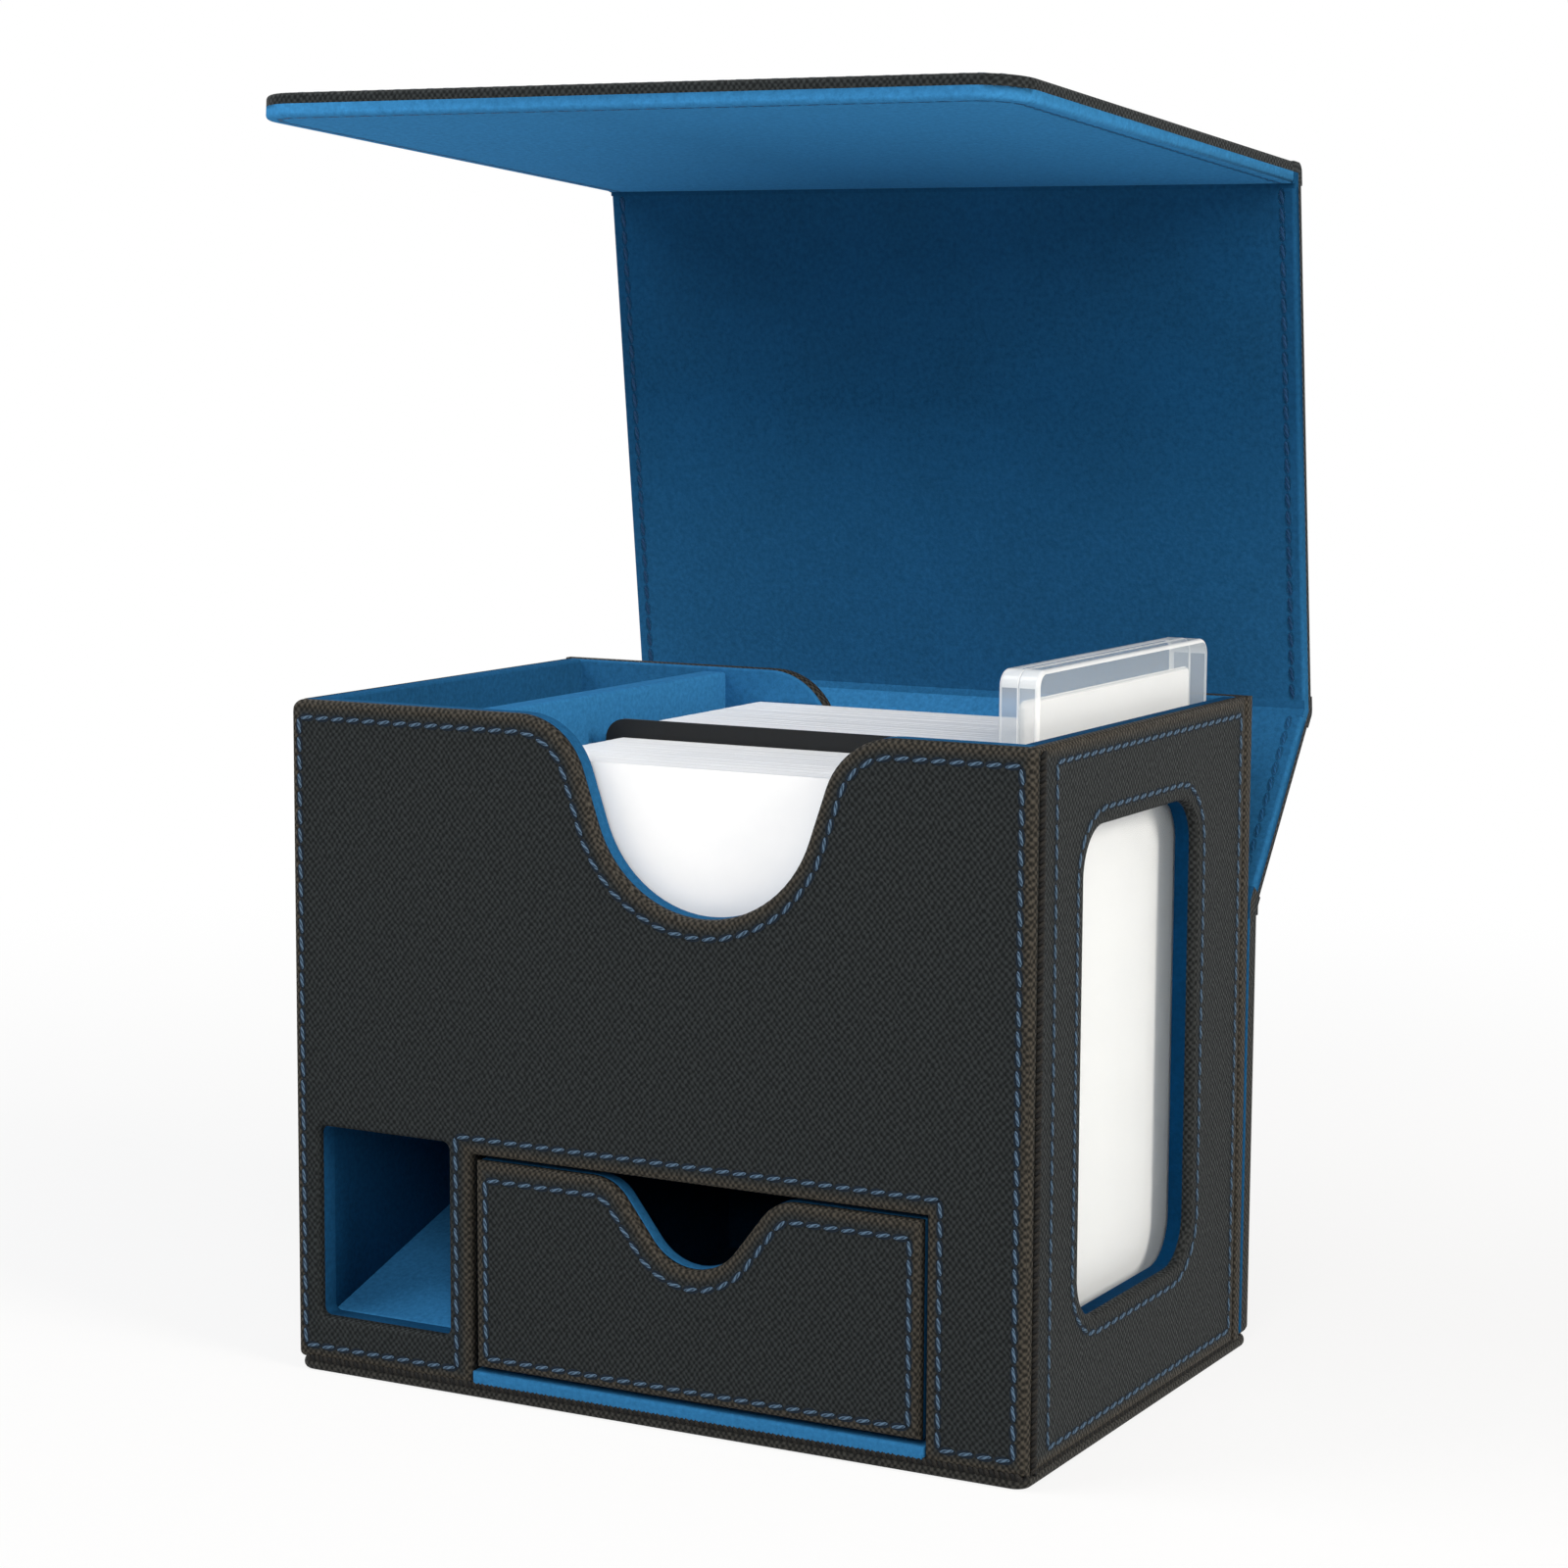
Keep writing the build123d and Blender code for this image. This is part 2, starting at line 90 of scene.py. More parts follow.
DOWN, UP = Vector((0, 0, -1)), Vector((0, 0, 1))
joints = {joint["name"]: joint for joint in frame["joints"]}

# %% [markdown]
# ## Three small tools for materials
# Artists pick colours as sRGB hex values, but a shader socket holds linear light, so one function turns one
# into the other. A second adds a shader node together with its settings and links, so a whole material reads
# like a short recipe. A third makes a material from such a recipe.

# %% Colours and shader nodes
def ink(code):
    """An sRGB hex colour as the linear colour that a shader socket holds."""
    parts = [int(code[i : i + 2], 16) / 255 for i in (1, 3, 5)]
    return [p / 12.92 if p <= 0.04045 else ((p + 0.055) / 1.055) ** 2.4 for p in parts] + [1.0]


def add(tree, kind, settings=None, links=None):
    """Add a node: settings go to its options or sockets, and links come from other nodes' sockets."""
    node = tree.nodes.new("ShaderNode" + kind)
    for name, value in (settings or {}).items():
        if isinstance(name, str) and hasattr(node, name):
            setattr(node, name, value)
        else:
            node.inputs[name].default_value = value
    for name, source in (links or {}).items():
        tree.links.new(source, node.inputs[name])
    return node


def material_of(name, recipe, *values):
    """A material: its recipe fills an empty node tree and returns the shader for the surface."""
    material = bpy.data.materials.new(name)
    material.use_nodes = True
    tree = material.node_tree
    tree.nodes.clear()
    shader = recipe(tree, *values)
    add(tree, "OutputMaterial", links={"Surface": shader.outputs[0]})
    return material


print("ink of mid grey", [round(v, 3) for v in ink("#808080")])

# %% [markdown]
# ## Leatherette
# Leatherette is cloth coated with soft plastic and embossed by a roller. Here the roller left a weave: rows
# of small raised dots, each row shifted by half a step. A cosine across times a cosine upwards draws just
# that lattice. An image would do it too, but the formula stays sharp at any size. The hollows between the
# dots get a darker colour than the dots: painted shade. The pattern reads a UV map in millimetres, because
# it has to follow each panel round its edges. Where the sheet is pulled over an edge it is painted paler and
# warmer, partly as wear and partly as a painted highlight, which the attribute called wear_and_painted_light
# marks.

# %% Leatherette
dot_across = 1.2
dot_up = 1.4
grain_depth = 0.16 * MM
wavers_per_mm = 0.3
waver_pull = 1.3
grits_per_mm = 1.1
grit_strength = 2.2


def leatherette(tree, crown, hollow_shade, edge_crown_worn_and_lit, edge_hollow_worn_and_lit):
    """Satin coated cloth with a staggered dot weave."""
    laid = add(tree, "UVMap", {"uv_map": "weave"}).outputs["UV"]
    waver = add(tree, "TexNoise", {"Scale": wavers_per_mm, "Detail": 2.0}, {"Vector": laid})
    pull = add(tree, "VectorMath", {"operation": "SCALE", "Scale": waver_pull}, {0: waver.outputs["Color"]})
    spot = add(tree, "VectorMath", {"operation": "ADD"}, {0: laid, 1: pull.outputs["Vector"]})
    split = add(tree, "SeparateXYZ", links={0: spot.outputs["Vector"]})
    waves = []
    for side, pitch in (("X", dot_across), ("Y", dot_up)):
        turn = add(tree, "Math", {"operation": "MULTIPLY", 1: 2 * pi / pitch}, {0: split.outputs[side]})
        waves.append(add(tree, "Math", {"operation": "COSINE"}, {0: turn.outputs[0]}).outputs[0])
    lattice = add(tree, "Math", {"operation": "MULTIPLY"}, dict(enumerate(waves)))
    gritty = {"Scale": grits_per_mm, "Detail": 3.0, "Roughness": 0.6}
    grit = add(tree, "TexNoise", gritty, {"Vector": laid})
    centred = {"operation": "MULTIPLY_ADD", 1: grit_strength, 2: -grit_strength / 2}
    uneven = add(tree, "Math", centred, {0: grit.outputs["Fac"]})
    height = add(tree, "Math", {"operation": "ADD"}, {0: lattice.outputs[0], 1: uneven.outputs[0]})
    dot_edge = {"interpolation_type": "SMOOTHSTEP", 1: -0.9, 2: 1.2}
    peak = add(tree, "MapRange", dot_edge, {0: height.outputs[0]}).outputs[0]
    # The edge colours mix in by the attribute: wear with a painted highlight.
    rub_and_light = add(tree, "Attribute", {"attribute_type": "GEOMETRY", "attribute_name": "wear_and_painted_light"}).outputs["Fac"]
    tones = []
    for plain, worn_and_lit in ((hollow_shade, edge_hollow_worn_and_lit), (crown, edge_crown_worn_and_lit)):
        colours = {"data_type": "RGBA", 6: ink(plain), 7: ink(worn_and_lit)}
        tones.append(add(tree, "Mix", colours, {0: rub_and_light}).outputs[2])
    # The hollows take the darker colour of each pair: painted shade between the dots.
    colour = add(tree, "Mix", {"data_type": "RGBA"}, {0: peak, 6: tones[0], 7: tones[1]}).outputs[2]
    bump = add(tree, "Bump", {"Strength": 0.7, "Distance": grain_depth}, {"Height": peak}).outputs["Normal"]
    gloss = add(tree, "MapRange", {3: 0.72, 4: 0.5}, {0: peak}).outputs[0]
    surface = {"Base Color": colour, "Roughness": gloss, "Normal": bump}
    return add(tree, "BsdfPrincipled", {"IOR": 1.5, "Specular IOR Level": 0.1}, surface)


# Dot and hollow, then both again at worn edges: the darker hollows are painted shade, and the paler, warmer
# edge colours are wear with a painted highlight.
weave_colours_and_painted_light = ("#2D3132", "#111415", "#45413A", "#191815")
black_leatherette = material_of("embossed_pu_leatherette", leatherette, *weave_colours_and_painted_light)
print("leatherette dots a square centimetre", round(2 * 100 / (dot_across * dot_up)))

# %% [markdown]
# ## Microfibre lining
# Microfibre suede is a felt of very fine fibres, sanded until a short nap stands up. It has no gloss. Its
# colour breaks up twice: in a fine speckle of tufts, drawn coarser than real ones so that they show, and in
# wide soft patches where a hand has brushed the nap. A sheen layer stands for the fibre tips that light up
# at a glancing angle. On top of that, each board is painted paler where light falls on it more and darker
# where it lies in shade, as painted light and shade, and its free edges paler as wear with a painted
# highlight: the attribute called wear_and_painted_light says how much of the lit tips' colour goes in.

# %% Microfibre
tuft = 0.9 * MM
brushed_patch = 24 * MM
patch_strength = 0.9
nap_depth = 0.15 * MM


def microfibre(tree, deep, middle, lit_tips):
    """Short brushed nap with a soft sheen, painted towards the lit tips' colour as painted light."""
    place = add(tree, "TexCoord").outputs["Object"]
    fine = {"Scale": 1 / tuft, "Detail": 4.0, "Roughness": 0.65}
    speckle = add(tree, "TexNoise", fine, {"Vector": place}).outputs["Fac"]
    broad = {"Scale": 1 / brushed_patch, "Detail": 3.0, "Roughness": 0.55}
    patches = add(tree, "TexNoise", broad, {"Vector": place})
    centred = {"operation": "MULTIPLY_ADD", 1: patch_strength, 2: -patch_strength / 2}
    wide = add(tree, "Math", centred, {0: patches.outputs["Fac"]})
    mixed = add(tree, "Math", {"operation": "ADD"}, {0: speckle, 1: wide.outputs[0]})
    base = {"data_type": "RGBA", 6: ink(deep), 7: ink(middle)}
    low = add(tree, "Mix", base, {0: mixed.outputs[0]})
    # The lit tips' colour goes in by the attribute: painted light over the board, and wear with a painted
    # highlight at free edges.
    rub_and_light = add(tree, "Attribute", {"attribute_type": "GEOMETRY", "attribute_name": "wear_and_painted_light"})
    soft = add(tree, "Math", {"operation": "MULTIPLY_ADD", 1: 0.5, 2: 0.25}, {0: speckle})
    worn_and_lit = add(tree, "Math", {"operation": "MULTIPLY"}, {0: rub_and_light.outputs["Fac"], 1: soft.outputs[0]})
    lit = {"data_type": "RGBA", 7: ink(lit_tips)}
    colour = add(tree, "Mix", lit, {0: worn_and_lit.outputs[0], 6: low.outputs[2]}).outputs[2]
    bump = add(tree, "Bump", {"Strength": 0.55, "Distance": nap_depth}, {"Height": speckle}).outputs["Normal"]
    sheen = {"Sheen Weight": 0.03, "Sheen Roughness": 0.3, "Sheen Tint": ink("#86B3D6")}
    matt = {"Roughness": 0.95, "Specular IOR Level": 0.015, **sheen}
    return add(tree, "BsdfPrincipled", matt, {"Base Color": colour, "Normal": bump})


blue_microfibre = material_of("brushed_blue_microfibre", microfibre, "#03223B", "#08385F", "#4599D6")
# The navy cloth is the blue one painted much darker, for the baffle deep in the tower: painted shade.
microfibre_painted_shade = material_of("brushed_microfibre_in_painted_shade", microfibre, "#020B13", "#041524", "#0C3C64")
print("microfibre tufts a centimetre", round(10 * MM / tuft))

# %% [markdown]
# ## Thread
# The seams are sewn with two-ply polyester thread. Up close, each stitch shows the slanted line between its
# plies, so a wave along the stitch tilts the normals, and the same wave paints each ply's crest in a lit
# colour and the groove between plies darker: painted highlight and painted shade. Slate blue is for
# leatherette, two blues close to the lining's own for the cover's inside, and black for the laced corners,
# with one strand painted lighter as a painted glint.

# %% Thread
ply_waves = 2.0
ply_depth = 0.06 * MM


def thread(tree, lit, groove_shade):
    """Twisted polyester thread, with its plies drawn along each stitch's own UV map, their crests in the lit
    colour and their groove in a darker colour: painted highlight and painted shade.
    """
    laid = add(tree, "UVMap", {"uv_map": "weave"}).outputs["UV"]
    slant = {"wave_type": "BANDS", "bands_direction": "DIAGONAL", "Scale": ply_waves, "Distortion": 0.6}
    ply = add(tree, "TexWave", slant, {"Vector": laid}).outputs["Fac"]
    colour = add(tree, "Mix", {"data_type": "RGBA", 6: ink(groove_shade), 7: ink(lit)}, {0: ply}).outputs[2]
    bump = add(tree, "Bump", {"Strength": 0.5, "Distance": ply_depth}, {"Height": ply}).outputs["Normal"]
    satin = {"Roughness": 0.65, "Specular IOR Level": 0.2}
    return add(tree, "BsdfPrincipled", satin, {"Base Color": colour, "Normal": bump})


# Each thread is a lit colour and a darker colour for the groove between its plies: painted highlight and
# painted shade.
plies = {
    "slate": ("#546C82", "#1B2E40"),
    "deep_blue": ("#14436C", "#0E3557"),
    "mid_blue": ("#1C5A8A", "#134468"),
    "black": ("#070808", "#030303"),
    # This strand is painted lighter than the black one, as a painted glint on the lace.
    "painted_glint": ("#24221E", "#0B0A09"),
}
threads = {name: material_of(name + "_polyester_thread", thread, *pair) for name, pair in plies.items()}
print("threads", list(threads))

# %% [markdown]
# ## Cards, divider, case and magnets
# The cards are blank, in smooth white sleeves. The divider is matt black polypropylene with a faint grain.
# The display case is cast acrylic: clear faces that let the card show, and rims painted milky and rounded
# edges painted bright, as painted light for the glow that acrylic gathers. The magnets are nickel-plated
# discs that only show if the box is cut open.

# %% Smooth materials
def smooth_sheet(tree, base, speck, grain, roughness, bump_depth, veil=1.0):
    """A plain sheet with a fine grain in its colour and its normals, or a thin veil of it."""
    place = add(tree, "TexCoord").outputs["Object"]
    grains = {"Scale": 1 / grain, "Detail": 3.0, "Roughness": 0.6}
    noise = add(tree, "TexNoise", grains, {"Vector": place}).outputs["Fac"]
    colour = add(tree, "Mix", {"data_type": "RGBA", 6: ink(base), 7: ink(speck)}, {0: noise}).outputs[2]
    bump = add(tree, "Bump", {"Strength": 0.3, "Distance": bump_depth}, {"Height": noise}).outputs["Normal"]
    finish = {"Roughness": roughness, "Specular IOR Level": 0.25, "Alpha": veil}
    return add(tree, "BsdfPrincipled", finish, {"Base Color": colour, "Normal": bump})


def polished(tree, scratches, least, most, settings):
    """A polished surface whose scratches vary its roughness between the least and the most."""
    place = add(tree, "TexCoord").outputs["Object"]
    marks = add(tree, "TexNoise", scratches, {"Vector": place}).outputs["Fac"]
    rough = add(tree, "MapRange", {3: least, 4: most}, {0: marks}).outputs[0]
    return add(tree, "BsdfPrincipled", settings, {"Roughness": rough})


def acrylic(tree, tint, veil):
    """Cast acrylic: gloss over a thin white veil, which is haze on the clear faces and painted light on the
    rims and rounded edges.
    """
    scratches = {"Scale": 1 / scratch_spacing, "Detail": 5.0, "Roughness": 0.7}
    return polished(tree, scratches, 0.03, 0.12, {"Base Color": ink(tint), "IOR": 1.49, "Alpha": veil})


scratch_spacing = 6 * MM
plating_grain = 0.8 * MM
sleeve = ("#F3F4F5", "#FBFBFB", 9 * MM, 0.42, 0.02 * MM)
card_white = material_of("white_card_sleeve", smooth_sheet, *sleeve)
moulded = ("#0F1112", "#181A1C", 0.5 * MM, 0.6, 0.04 * MM)
divider_black = material_of("black_polypropylene", smooth_sheet, *moulded)
clear_face = material_of("clear_cast_acrylic", acrylic, "#DDE9F1", 0.14)
# The rims and the rounded edges are whiter and less clear than the faces: painted light.
rim_painted_light = material_of("acrylic_rim_painted_light", acrylic, "#EAF0F3", 0.32)
edge_painted_light = material_of("acrylic_edge_painted_light", acrylic, "#F4F7F8", 0.7)
nickel = {"Base Color": ink("#C9C8C4"), "Metallic": 1.0}
plating = {"Scale": 1 / plating_grain}
magnet_plate = material_of("nickel_plated_steel", polished, plating, 0.18, 0.34, nickel)
print("smooth materials", card_white.name, divider_black.name, clear_face.name, magnet_plate.name)

# %% [markdown]
# ## From boards to wrapped boards
# A board of the frame has sharp edges, and its mesh is loose triangles. A copy is welded, its flat triangles
# are joined into whole faces, and the bevel operator rounds its edges as glue and cloth would. The corners
# of bevelled faces are marked for wear and a painted highlight.

# %% Copies with round edges
weld_distance = 0.002 * MM
flat_join = radians(0.5)
sharp_angle = radians(30)
looks_along = 0.05


def copy_of(node):
    """A welded copy of a board, with its flat triangles joined."""
    bm = bmesh.new()
    bm.from_mesh(frame["nodes"][node].data)
    bmesh.ops.remove_doubles(bm, verts=bm.verts, dist=weld_distance)
    bmesh.ops.dissolve_limit(bm, angle_limit=flat_join, verts=bm.verts, edges=bm.edges)
    return bm


def wear_and_light_layer(bm):
    """The attribute that says how much wear and painted light each vertex has."""
    layers = bm.verts.layers.float
    return layers.get("wear_and_painted_light") or layers.new("wear_and_painted_light")


def borders(*ways):
    """Picks the edges where faces that look along one of these ways meet faces that don't."""

    def chosen(edge):
        for way in ways:
            low, high = sorted(face.normal.dot(way) for face in edge.link_faces)
            if low < looks_along < high:
                return True
        return False

    return chosen


def round_edges(bm, radius, segments, chosen, edge_wear_and_highlight=1.0):
    """Round the sharp edges that are chosen, and mark the new faces' corners for wear and a painted
    highlight.
    """
    wear_and_painted_light = wear_and_light_layer(bm)
    sharp = [
        edge
        for edge in bm.edges
        if len(edge.link_faces) == 2 and edge.calc_face_angle() > sharp_angle and chosen(edge)
    ]
    made = bmesh.ops.bevel(
        bm, geom=sharp, offset=radius, offset_type="OFFSET", segments=segments, profile=0.5,
        affect="EDGES", clamp_overlap=False, material=-1,
    )
    for vert in {vert for face in made["faces"] for vert in face.verts}:
        vert[wear_and_painted_light] = max(edge_wear_and_highlight, vert[wear_and_painted_light])


print("edges sharper than", round(degrees(sharp_angle)), "degrees can be rounded")

# %% [markdown]
# Wear and a painted highlight fade away from an edge, and painted light and shade change across a board.
# Both are values on vertices, so a face needs vertices where a change starts and stops. An inset makes a band
# of them inside a face's outline, and a cut by a plane makes a row of them across a board.

# %% Wear and painted light
flat_angle = radians(2)
flat_enough = cos(flat_angle)


def slice_at(bm, spot, way):
    """Cut every face that a plane crosses, so that the change on each side can differ."""
    everything = bm.verts[:] + bm.edges[:] + bm.faces[:]
    bmesh.ops.bisect_plane(bm, geom=everything, plane_co=spot, plane_no=way)


def paint_light(bm, stops, start=Vector(), way=RIGHT):
    """Paint light and shade across a board: a stop is a reach along the way and the painted light there, with
    even change between.
    """
    wear_and_painted_light = wear_and_light_layer(bm)
    reaches, painted_lights = zip(*stops)
    for reach in reaches[1:-1]:
        slice_at(bm, start + way * reach, way)
    for vert in bm.verts:
        vert[wear_and_painted_light] = interp((vert.co - start).dot(way), reaches, painted_lights)


def fade_wear_and_highlight(bm, ways, band):
    """Inset the large flat faces that look along these ways, so that their edges' wear and painted highlight
    fade over a band.
    """
    wear_and_painted_light = wear_and_light_layer(bm)
    large = (3 * band) ** 2
    for way in ways:
        flat = [face for face in bm.faces if face.normal.dot(way) > flat_enough and face.calc_area() > large]
        bmesh.ops.inset_region(bm, faces=flat, thickness=band, use_even_offset=True, use_boundary=True)
        for vert in {vert for face in flat for vert in face.verts}:
            vert[wear_and_painted_light] = 0.0


print("a face is flat within", round(degrees(flat_angle)), "degrees")

# %% [markdown]
# A finished bmesh becomes a piece in one place: it gets its name, materials and smooth shading, rides on its
# body, and stands for the board that it dresses. A Weighted Normal modifier keeps large faces flat. The
# weave's UV map is laid like cloth on a table: each face takes the two axes that it lies along.

# %% Weave, names and bodies
def show(name, data):
    """A new object in the scene."""
    thing = bpy.data.objects.new(name, data)
    bpy.context.scene.collection.objects.link(thing)
    return thing


def lay_weave(bm, turn=Matrix.Identity(3)):
    """Write a UV map in millimetres from the two axes that each face lies along, after turning upright."""
    layer = bm.loops.layers.uv.get("weave") or bm.loops.layers.uv.new("weave")
    upright = turn.transposed()
    for face in bm.faces:
        normal = upright @ face.normal
        facing = max(range(3), key=lambda i: abs(normal[i]))
        across, up = ((1, 2), (0, 2), (0, 1))[facing]
        for loop in face.loops:
            spot = upright @ loop.vert.co
            loop[layer].uv = (spot[across] / MM, spot[up] / MM)


def put_away(bm, name, materials, body=None, stands_for=(), bend_angle=40):
    """Turn a finished bmesh into a named piece of the part."""
    mesh = bpy.data.meshes.new(name)
    bm.to_mesh(mesh)
    bm.free()
    for material in materials:
        mesh.materials.append(material)
    mesh.polygons.foreach_set("use_smooth", [True] * len(mesh.polygons))
    mesh.set_sharp_from_angle(angle=radians(bend_angle))
    piece = show(name, mesh)
    piece.modifiers.new("flat_faces_stay_flat", "WEIGHTED_NORMAL").keep_sharp = True
    if body:
        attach(piece, body)
    if stands_for:
        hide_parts(*stands_for)
    return piece


def body_of(node):
    """The body that carries a board."""
    return frame["nodes"][node]["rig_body"]


print("the drawer's front rides on", body_of("drawer_front"))

# %% [markdown]
# ## The openings
# The solids already have their openings. The seams follow them and the wear and painted highlight stop at
# them, so their sizes are named once here. An opening is its left, right, bottom and top. A thumb cut is its
# middle, its depth, the radius of its low arc, the radius of its shoulders, and how far its flanks lean in
# degrees.

# %% Openings
def mm(*values):
    """Lengths in millimetres as metres."""
    return tuple(value * MM for value in values)


def grown(opening, margin):
    """An opening with a margin on its four sides."""
    return [side + margin * way for side, way in zip(opening, (-1, 1, -1, 1))]


tower_mouth = mm(-69.9, -41.2, 10.8, 47.0)
window = mm(-28.3, 22.7, 23.8, 110.4)
window_corner = 8.5 * MM
drawer_hole = mm(-36.1, 55.9, 2.4, 45.4)
thumb_cut = (*mm(11.3, 34.0, 22.4, 13.8), 18.6)
drawer_notch = (*mm(9.9, 14.6, 10.6, 8.4), 37.5)
print("window", [round((b - a) / MM, 1) for a, b in (window[:2], window[2:])], "mm")

# %% [markdown]
# ## The leatherette faces of the box
# On the real box one sheet is glued over each wall and turned over its edges, so an outer edge is round and
# a hidden one is sharp. Each wall names the ways that its good sides look, and only their edges are rounded.
# The left end of the rim is rounder still, and so are the back's lower corners, which stand on the base's
# round ones. The edges of the tower's mouth and the window get hardly any wear and painted highlight.

# %% Rounder corners and spared edges
wrap_radius = 1.1 * MM
rim_radius = 1.7 * MM
corner_radius = 2.3 * MM
foot_radius = 1.4 * MM
wear_and_highlight_band = 1.3 * MM
spared_margin = 2.0 * MM
wall_low, wall_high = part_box("front_panel")


def outer_rim(edge):
    """Picks the outer edge of the left wall's rim."""
    return all(vert.co.x < wall_low.x + MM and vert.co.z > wall_high.z - MM for vert in edge.verts)


def foot_corner(edge):
    """Picks the two lower corners of the back, which stand on the base's round corners."""
    side, foot = wall_high.x - MM / 10, wall_low.z + MM / 10
    return all(abs(vert.co.x) > side and vert.co.z < foot for vert in edge.verts)


def ease_corner(bm, reach, steps=4):
    """Cut the left end of a rim into a small grid, and pull its square corner in to a quarter circle."""
    left, top = wall_low.x, wall_high.z
    for k in range(1, steps + 1):
        slice_at(bm, (left + reach * k / steps, 0, 0), RIGHT)
        slice_at(bm, (0, 0, top - reach * k / steps), UP)
    for vert in bm.verts:
        across, up = 1 - (vert.co.x - left) / reach, 1 + (vert.co.z - top) / reach
        if across > 0 and up > 0:
            vert.co.x = left + reach * (1 - across * (1 - up**2 / 2) ** 0.5)
            vert.co.z = top - reach * (1 - up * (1 - across**2 / 2) ** 0.5)


def spare(bm, opening, axis, share):
    """Leave only a share of the wear and painted highlight round an opening, which lies across an axis."""
    wear_and_painted_light = wear_and_light_layer(bm)
    left, right, bottom, top = grown(opening, spared_margin)
    for vert in bm.verts:
        if left < vert.co[axis] < right and bottom < vert.co.z < top:
            vert[wear_and_painted_light] *= share


print("corners are rounded by", [round(r / MM, 1) for r in (rim_radius, corner_radius, foot_radius)], "mm")

# %% Wrapped walls, drawer front and base
# Each wall: the ways that its good sides look, and how much wear and painted highlight its round edges get.
wraps = {
    "front_panel": ([FRONT], 1.0),
    "left_panel": ([LEFT], 1.0),
    "right_panel": ([RIGHT], 1.0),
    "rear_panel": ([BACK, FRONT], 1.0),
    "drawer_front": ([FRONT], 1.0),
    "base_panel": ([UP, DOWN], 0.5),
    "back_panel": ([BACK], 0.5),
}
# Round these openings the edges keep only a share of their wear and painted highlight.
spared = {"front_panel": (tower_mouth, 0, 0.0), "right_panel": (window, 1, 0.12)}
for node, (ways, edge_wear_and_highlight) in wraps.items():
    shell = copy_of(node)
    if node == "left_panel":
        round_edges(shell, rim_radius, 5, outer_rim, edge_wear_and_highlight)
    if node == "back_panel":
        round_edges(shell, foot_radius, 5, foot_corner, edge_wear_and_highlight)
    round_edges(shell, wrap_radius, 4, borders(*ways), edge_wear_and_highlight)
    fade_wear_and_highlight(shell, ways, wear_and_highlight_band)
    if node in spared:
        spare(shell, *spared[node])
    if node == "front_panel":
        ease_corner(shell, corner_radius)
    lay_weave(shell)
    put_away(shell, node + "_wrap", [black_leatherette], body_of(node), [node])
print("wrapped", len(wraps), "boards")

# %% [markdown]
# ## Linings and inner boards
# Inside, thinner boards are covered in microfibre. Only an edge that stands free is rounded, and there it is
# painted paler, as wear with a painted highlight: the rims, the thumb cuts, the lip of the ramp and the
# drawer's notch. Round the drawer and down the sides of the back the leatherette is turned in over the
# lining, so those faces are black; round the drawer that black is also painted shade for the narrow gap.
# Each board says which edges stand free, how much painted light its cloth gets, and how much wear and
# painted highlight its free edges get.

# %% Free edges of the lined boards
def all_at(axis, side, place):
    """Picks the edges that lie wholly on one side of a place along an axis."""
    return lambda edge: all((vert.co[axis] - place) * side > 0 for vert in edge.verts)


rim, cut_edge = all_at(2, 1, 115 * MM), all_at(2, 1, 80 * MM)
lip = all_at(1, -1, -43 * MM)
notch_edge, drawer_rim = all_at(2, 1, 25 * MM), all_at(2, 1, 35 * MM)
# Each board: its free edges, the painted light of its cloth, and the wear and painted highlight of its free
# edges.
lined = {
    "front_lining": (cut_edge, 0.25, 0.45),
    "rear_lining": (cut_edge, 0.5, 0.7),
    "left_lining": (rim, 0.04, 0.45),
    "right_lining": (rim, 0.0, 0.15),
    "drawer_front_lining": (notch_edge, 0.25, 0.6),
    "back_lining": (borders(FRONT), 0.3, 0.3),
    "well_floor_lining": (None, 0.2, 0.0),
    "drawer_floor_lining": (None, 0.2, 0.0),
    "tower_divider": (rim, 0.75, 0.95),
    "pocket_panel": (rim, 0.4, 0.5),
    "tower_ramp": (lip, 0.95, 1.0),
    "bay_floor": (lip, 0.72, 0.8),
    "tower_baffle": (None, 0.0, 0.0),
    "well_floor": (None, 0.2, 0.0),
    "bay_side": (None, 0.2, 0.0),
    "pocket_floor": (None, 0.2, 0.0),
    "drawer_left_side": (drawer_rim, 0.2, 0.6),
    "drawer_right_side": (drawer_rim, 0.2, 0.6),
    "drawer_back": (drawer_rim, 0.2, 0.6),
    "drawer_floor": (None, 0.2, 0.0),
}
print("boards with a free edge", sum(1 for free, *_ in lined.values() if free), "of", len(lined))

# %% Lined boards
soft_radius = 0.5 * MM


def is_turned_in_and_gap_shade(node, face):
    """True for the faces that are black leatherette: turned in down the back's sides, and turned in round the
    drawer's opening, where the black is also painted shade for the gap.
    """
    normal, spot = face.normal, face.calc_center_median()
    if node == "back_lining":
        return abs(normal.y) < 0.2 and abs(normal.x) > 0.2
    left, right, bottom, top = grown(drawer_hole, MM)
    beside = left < spot.x < right and bottom < spot.z < top
    return node == "front_lining" and abs(normal.y) < 0.5 and beside


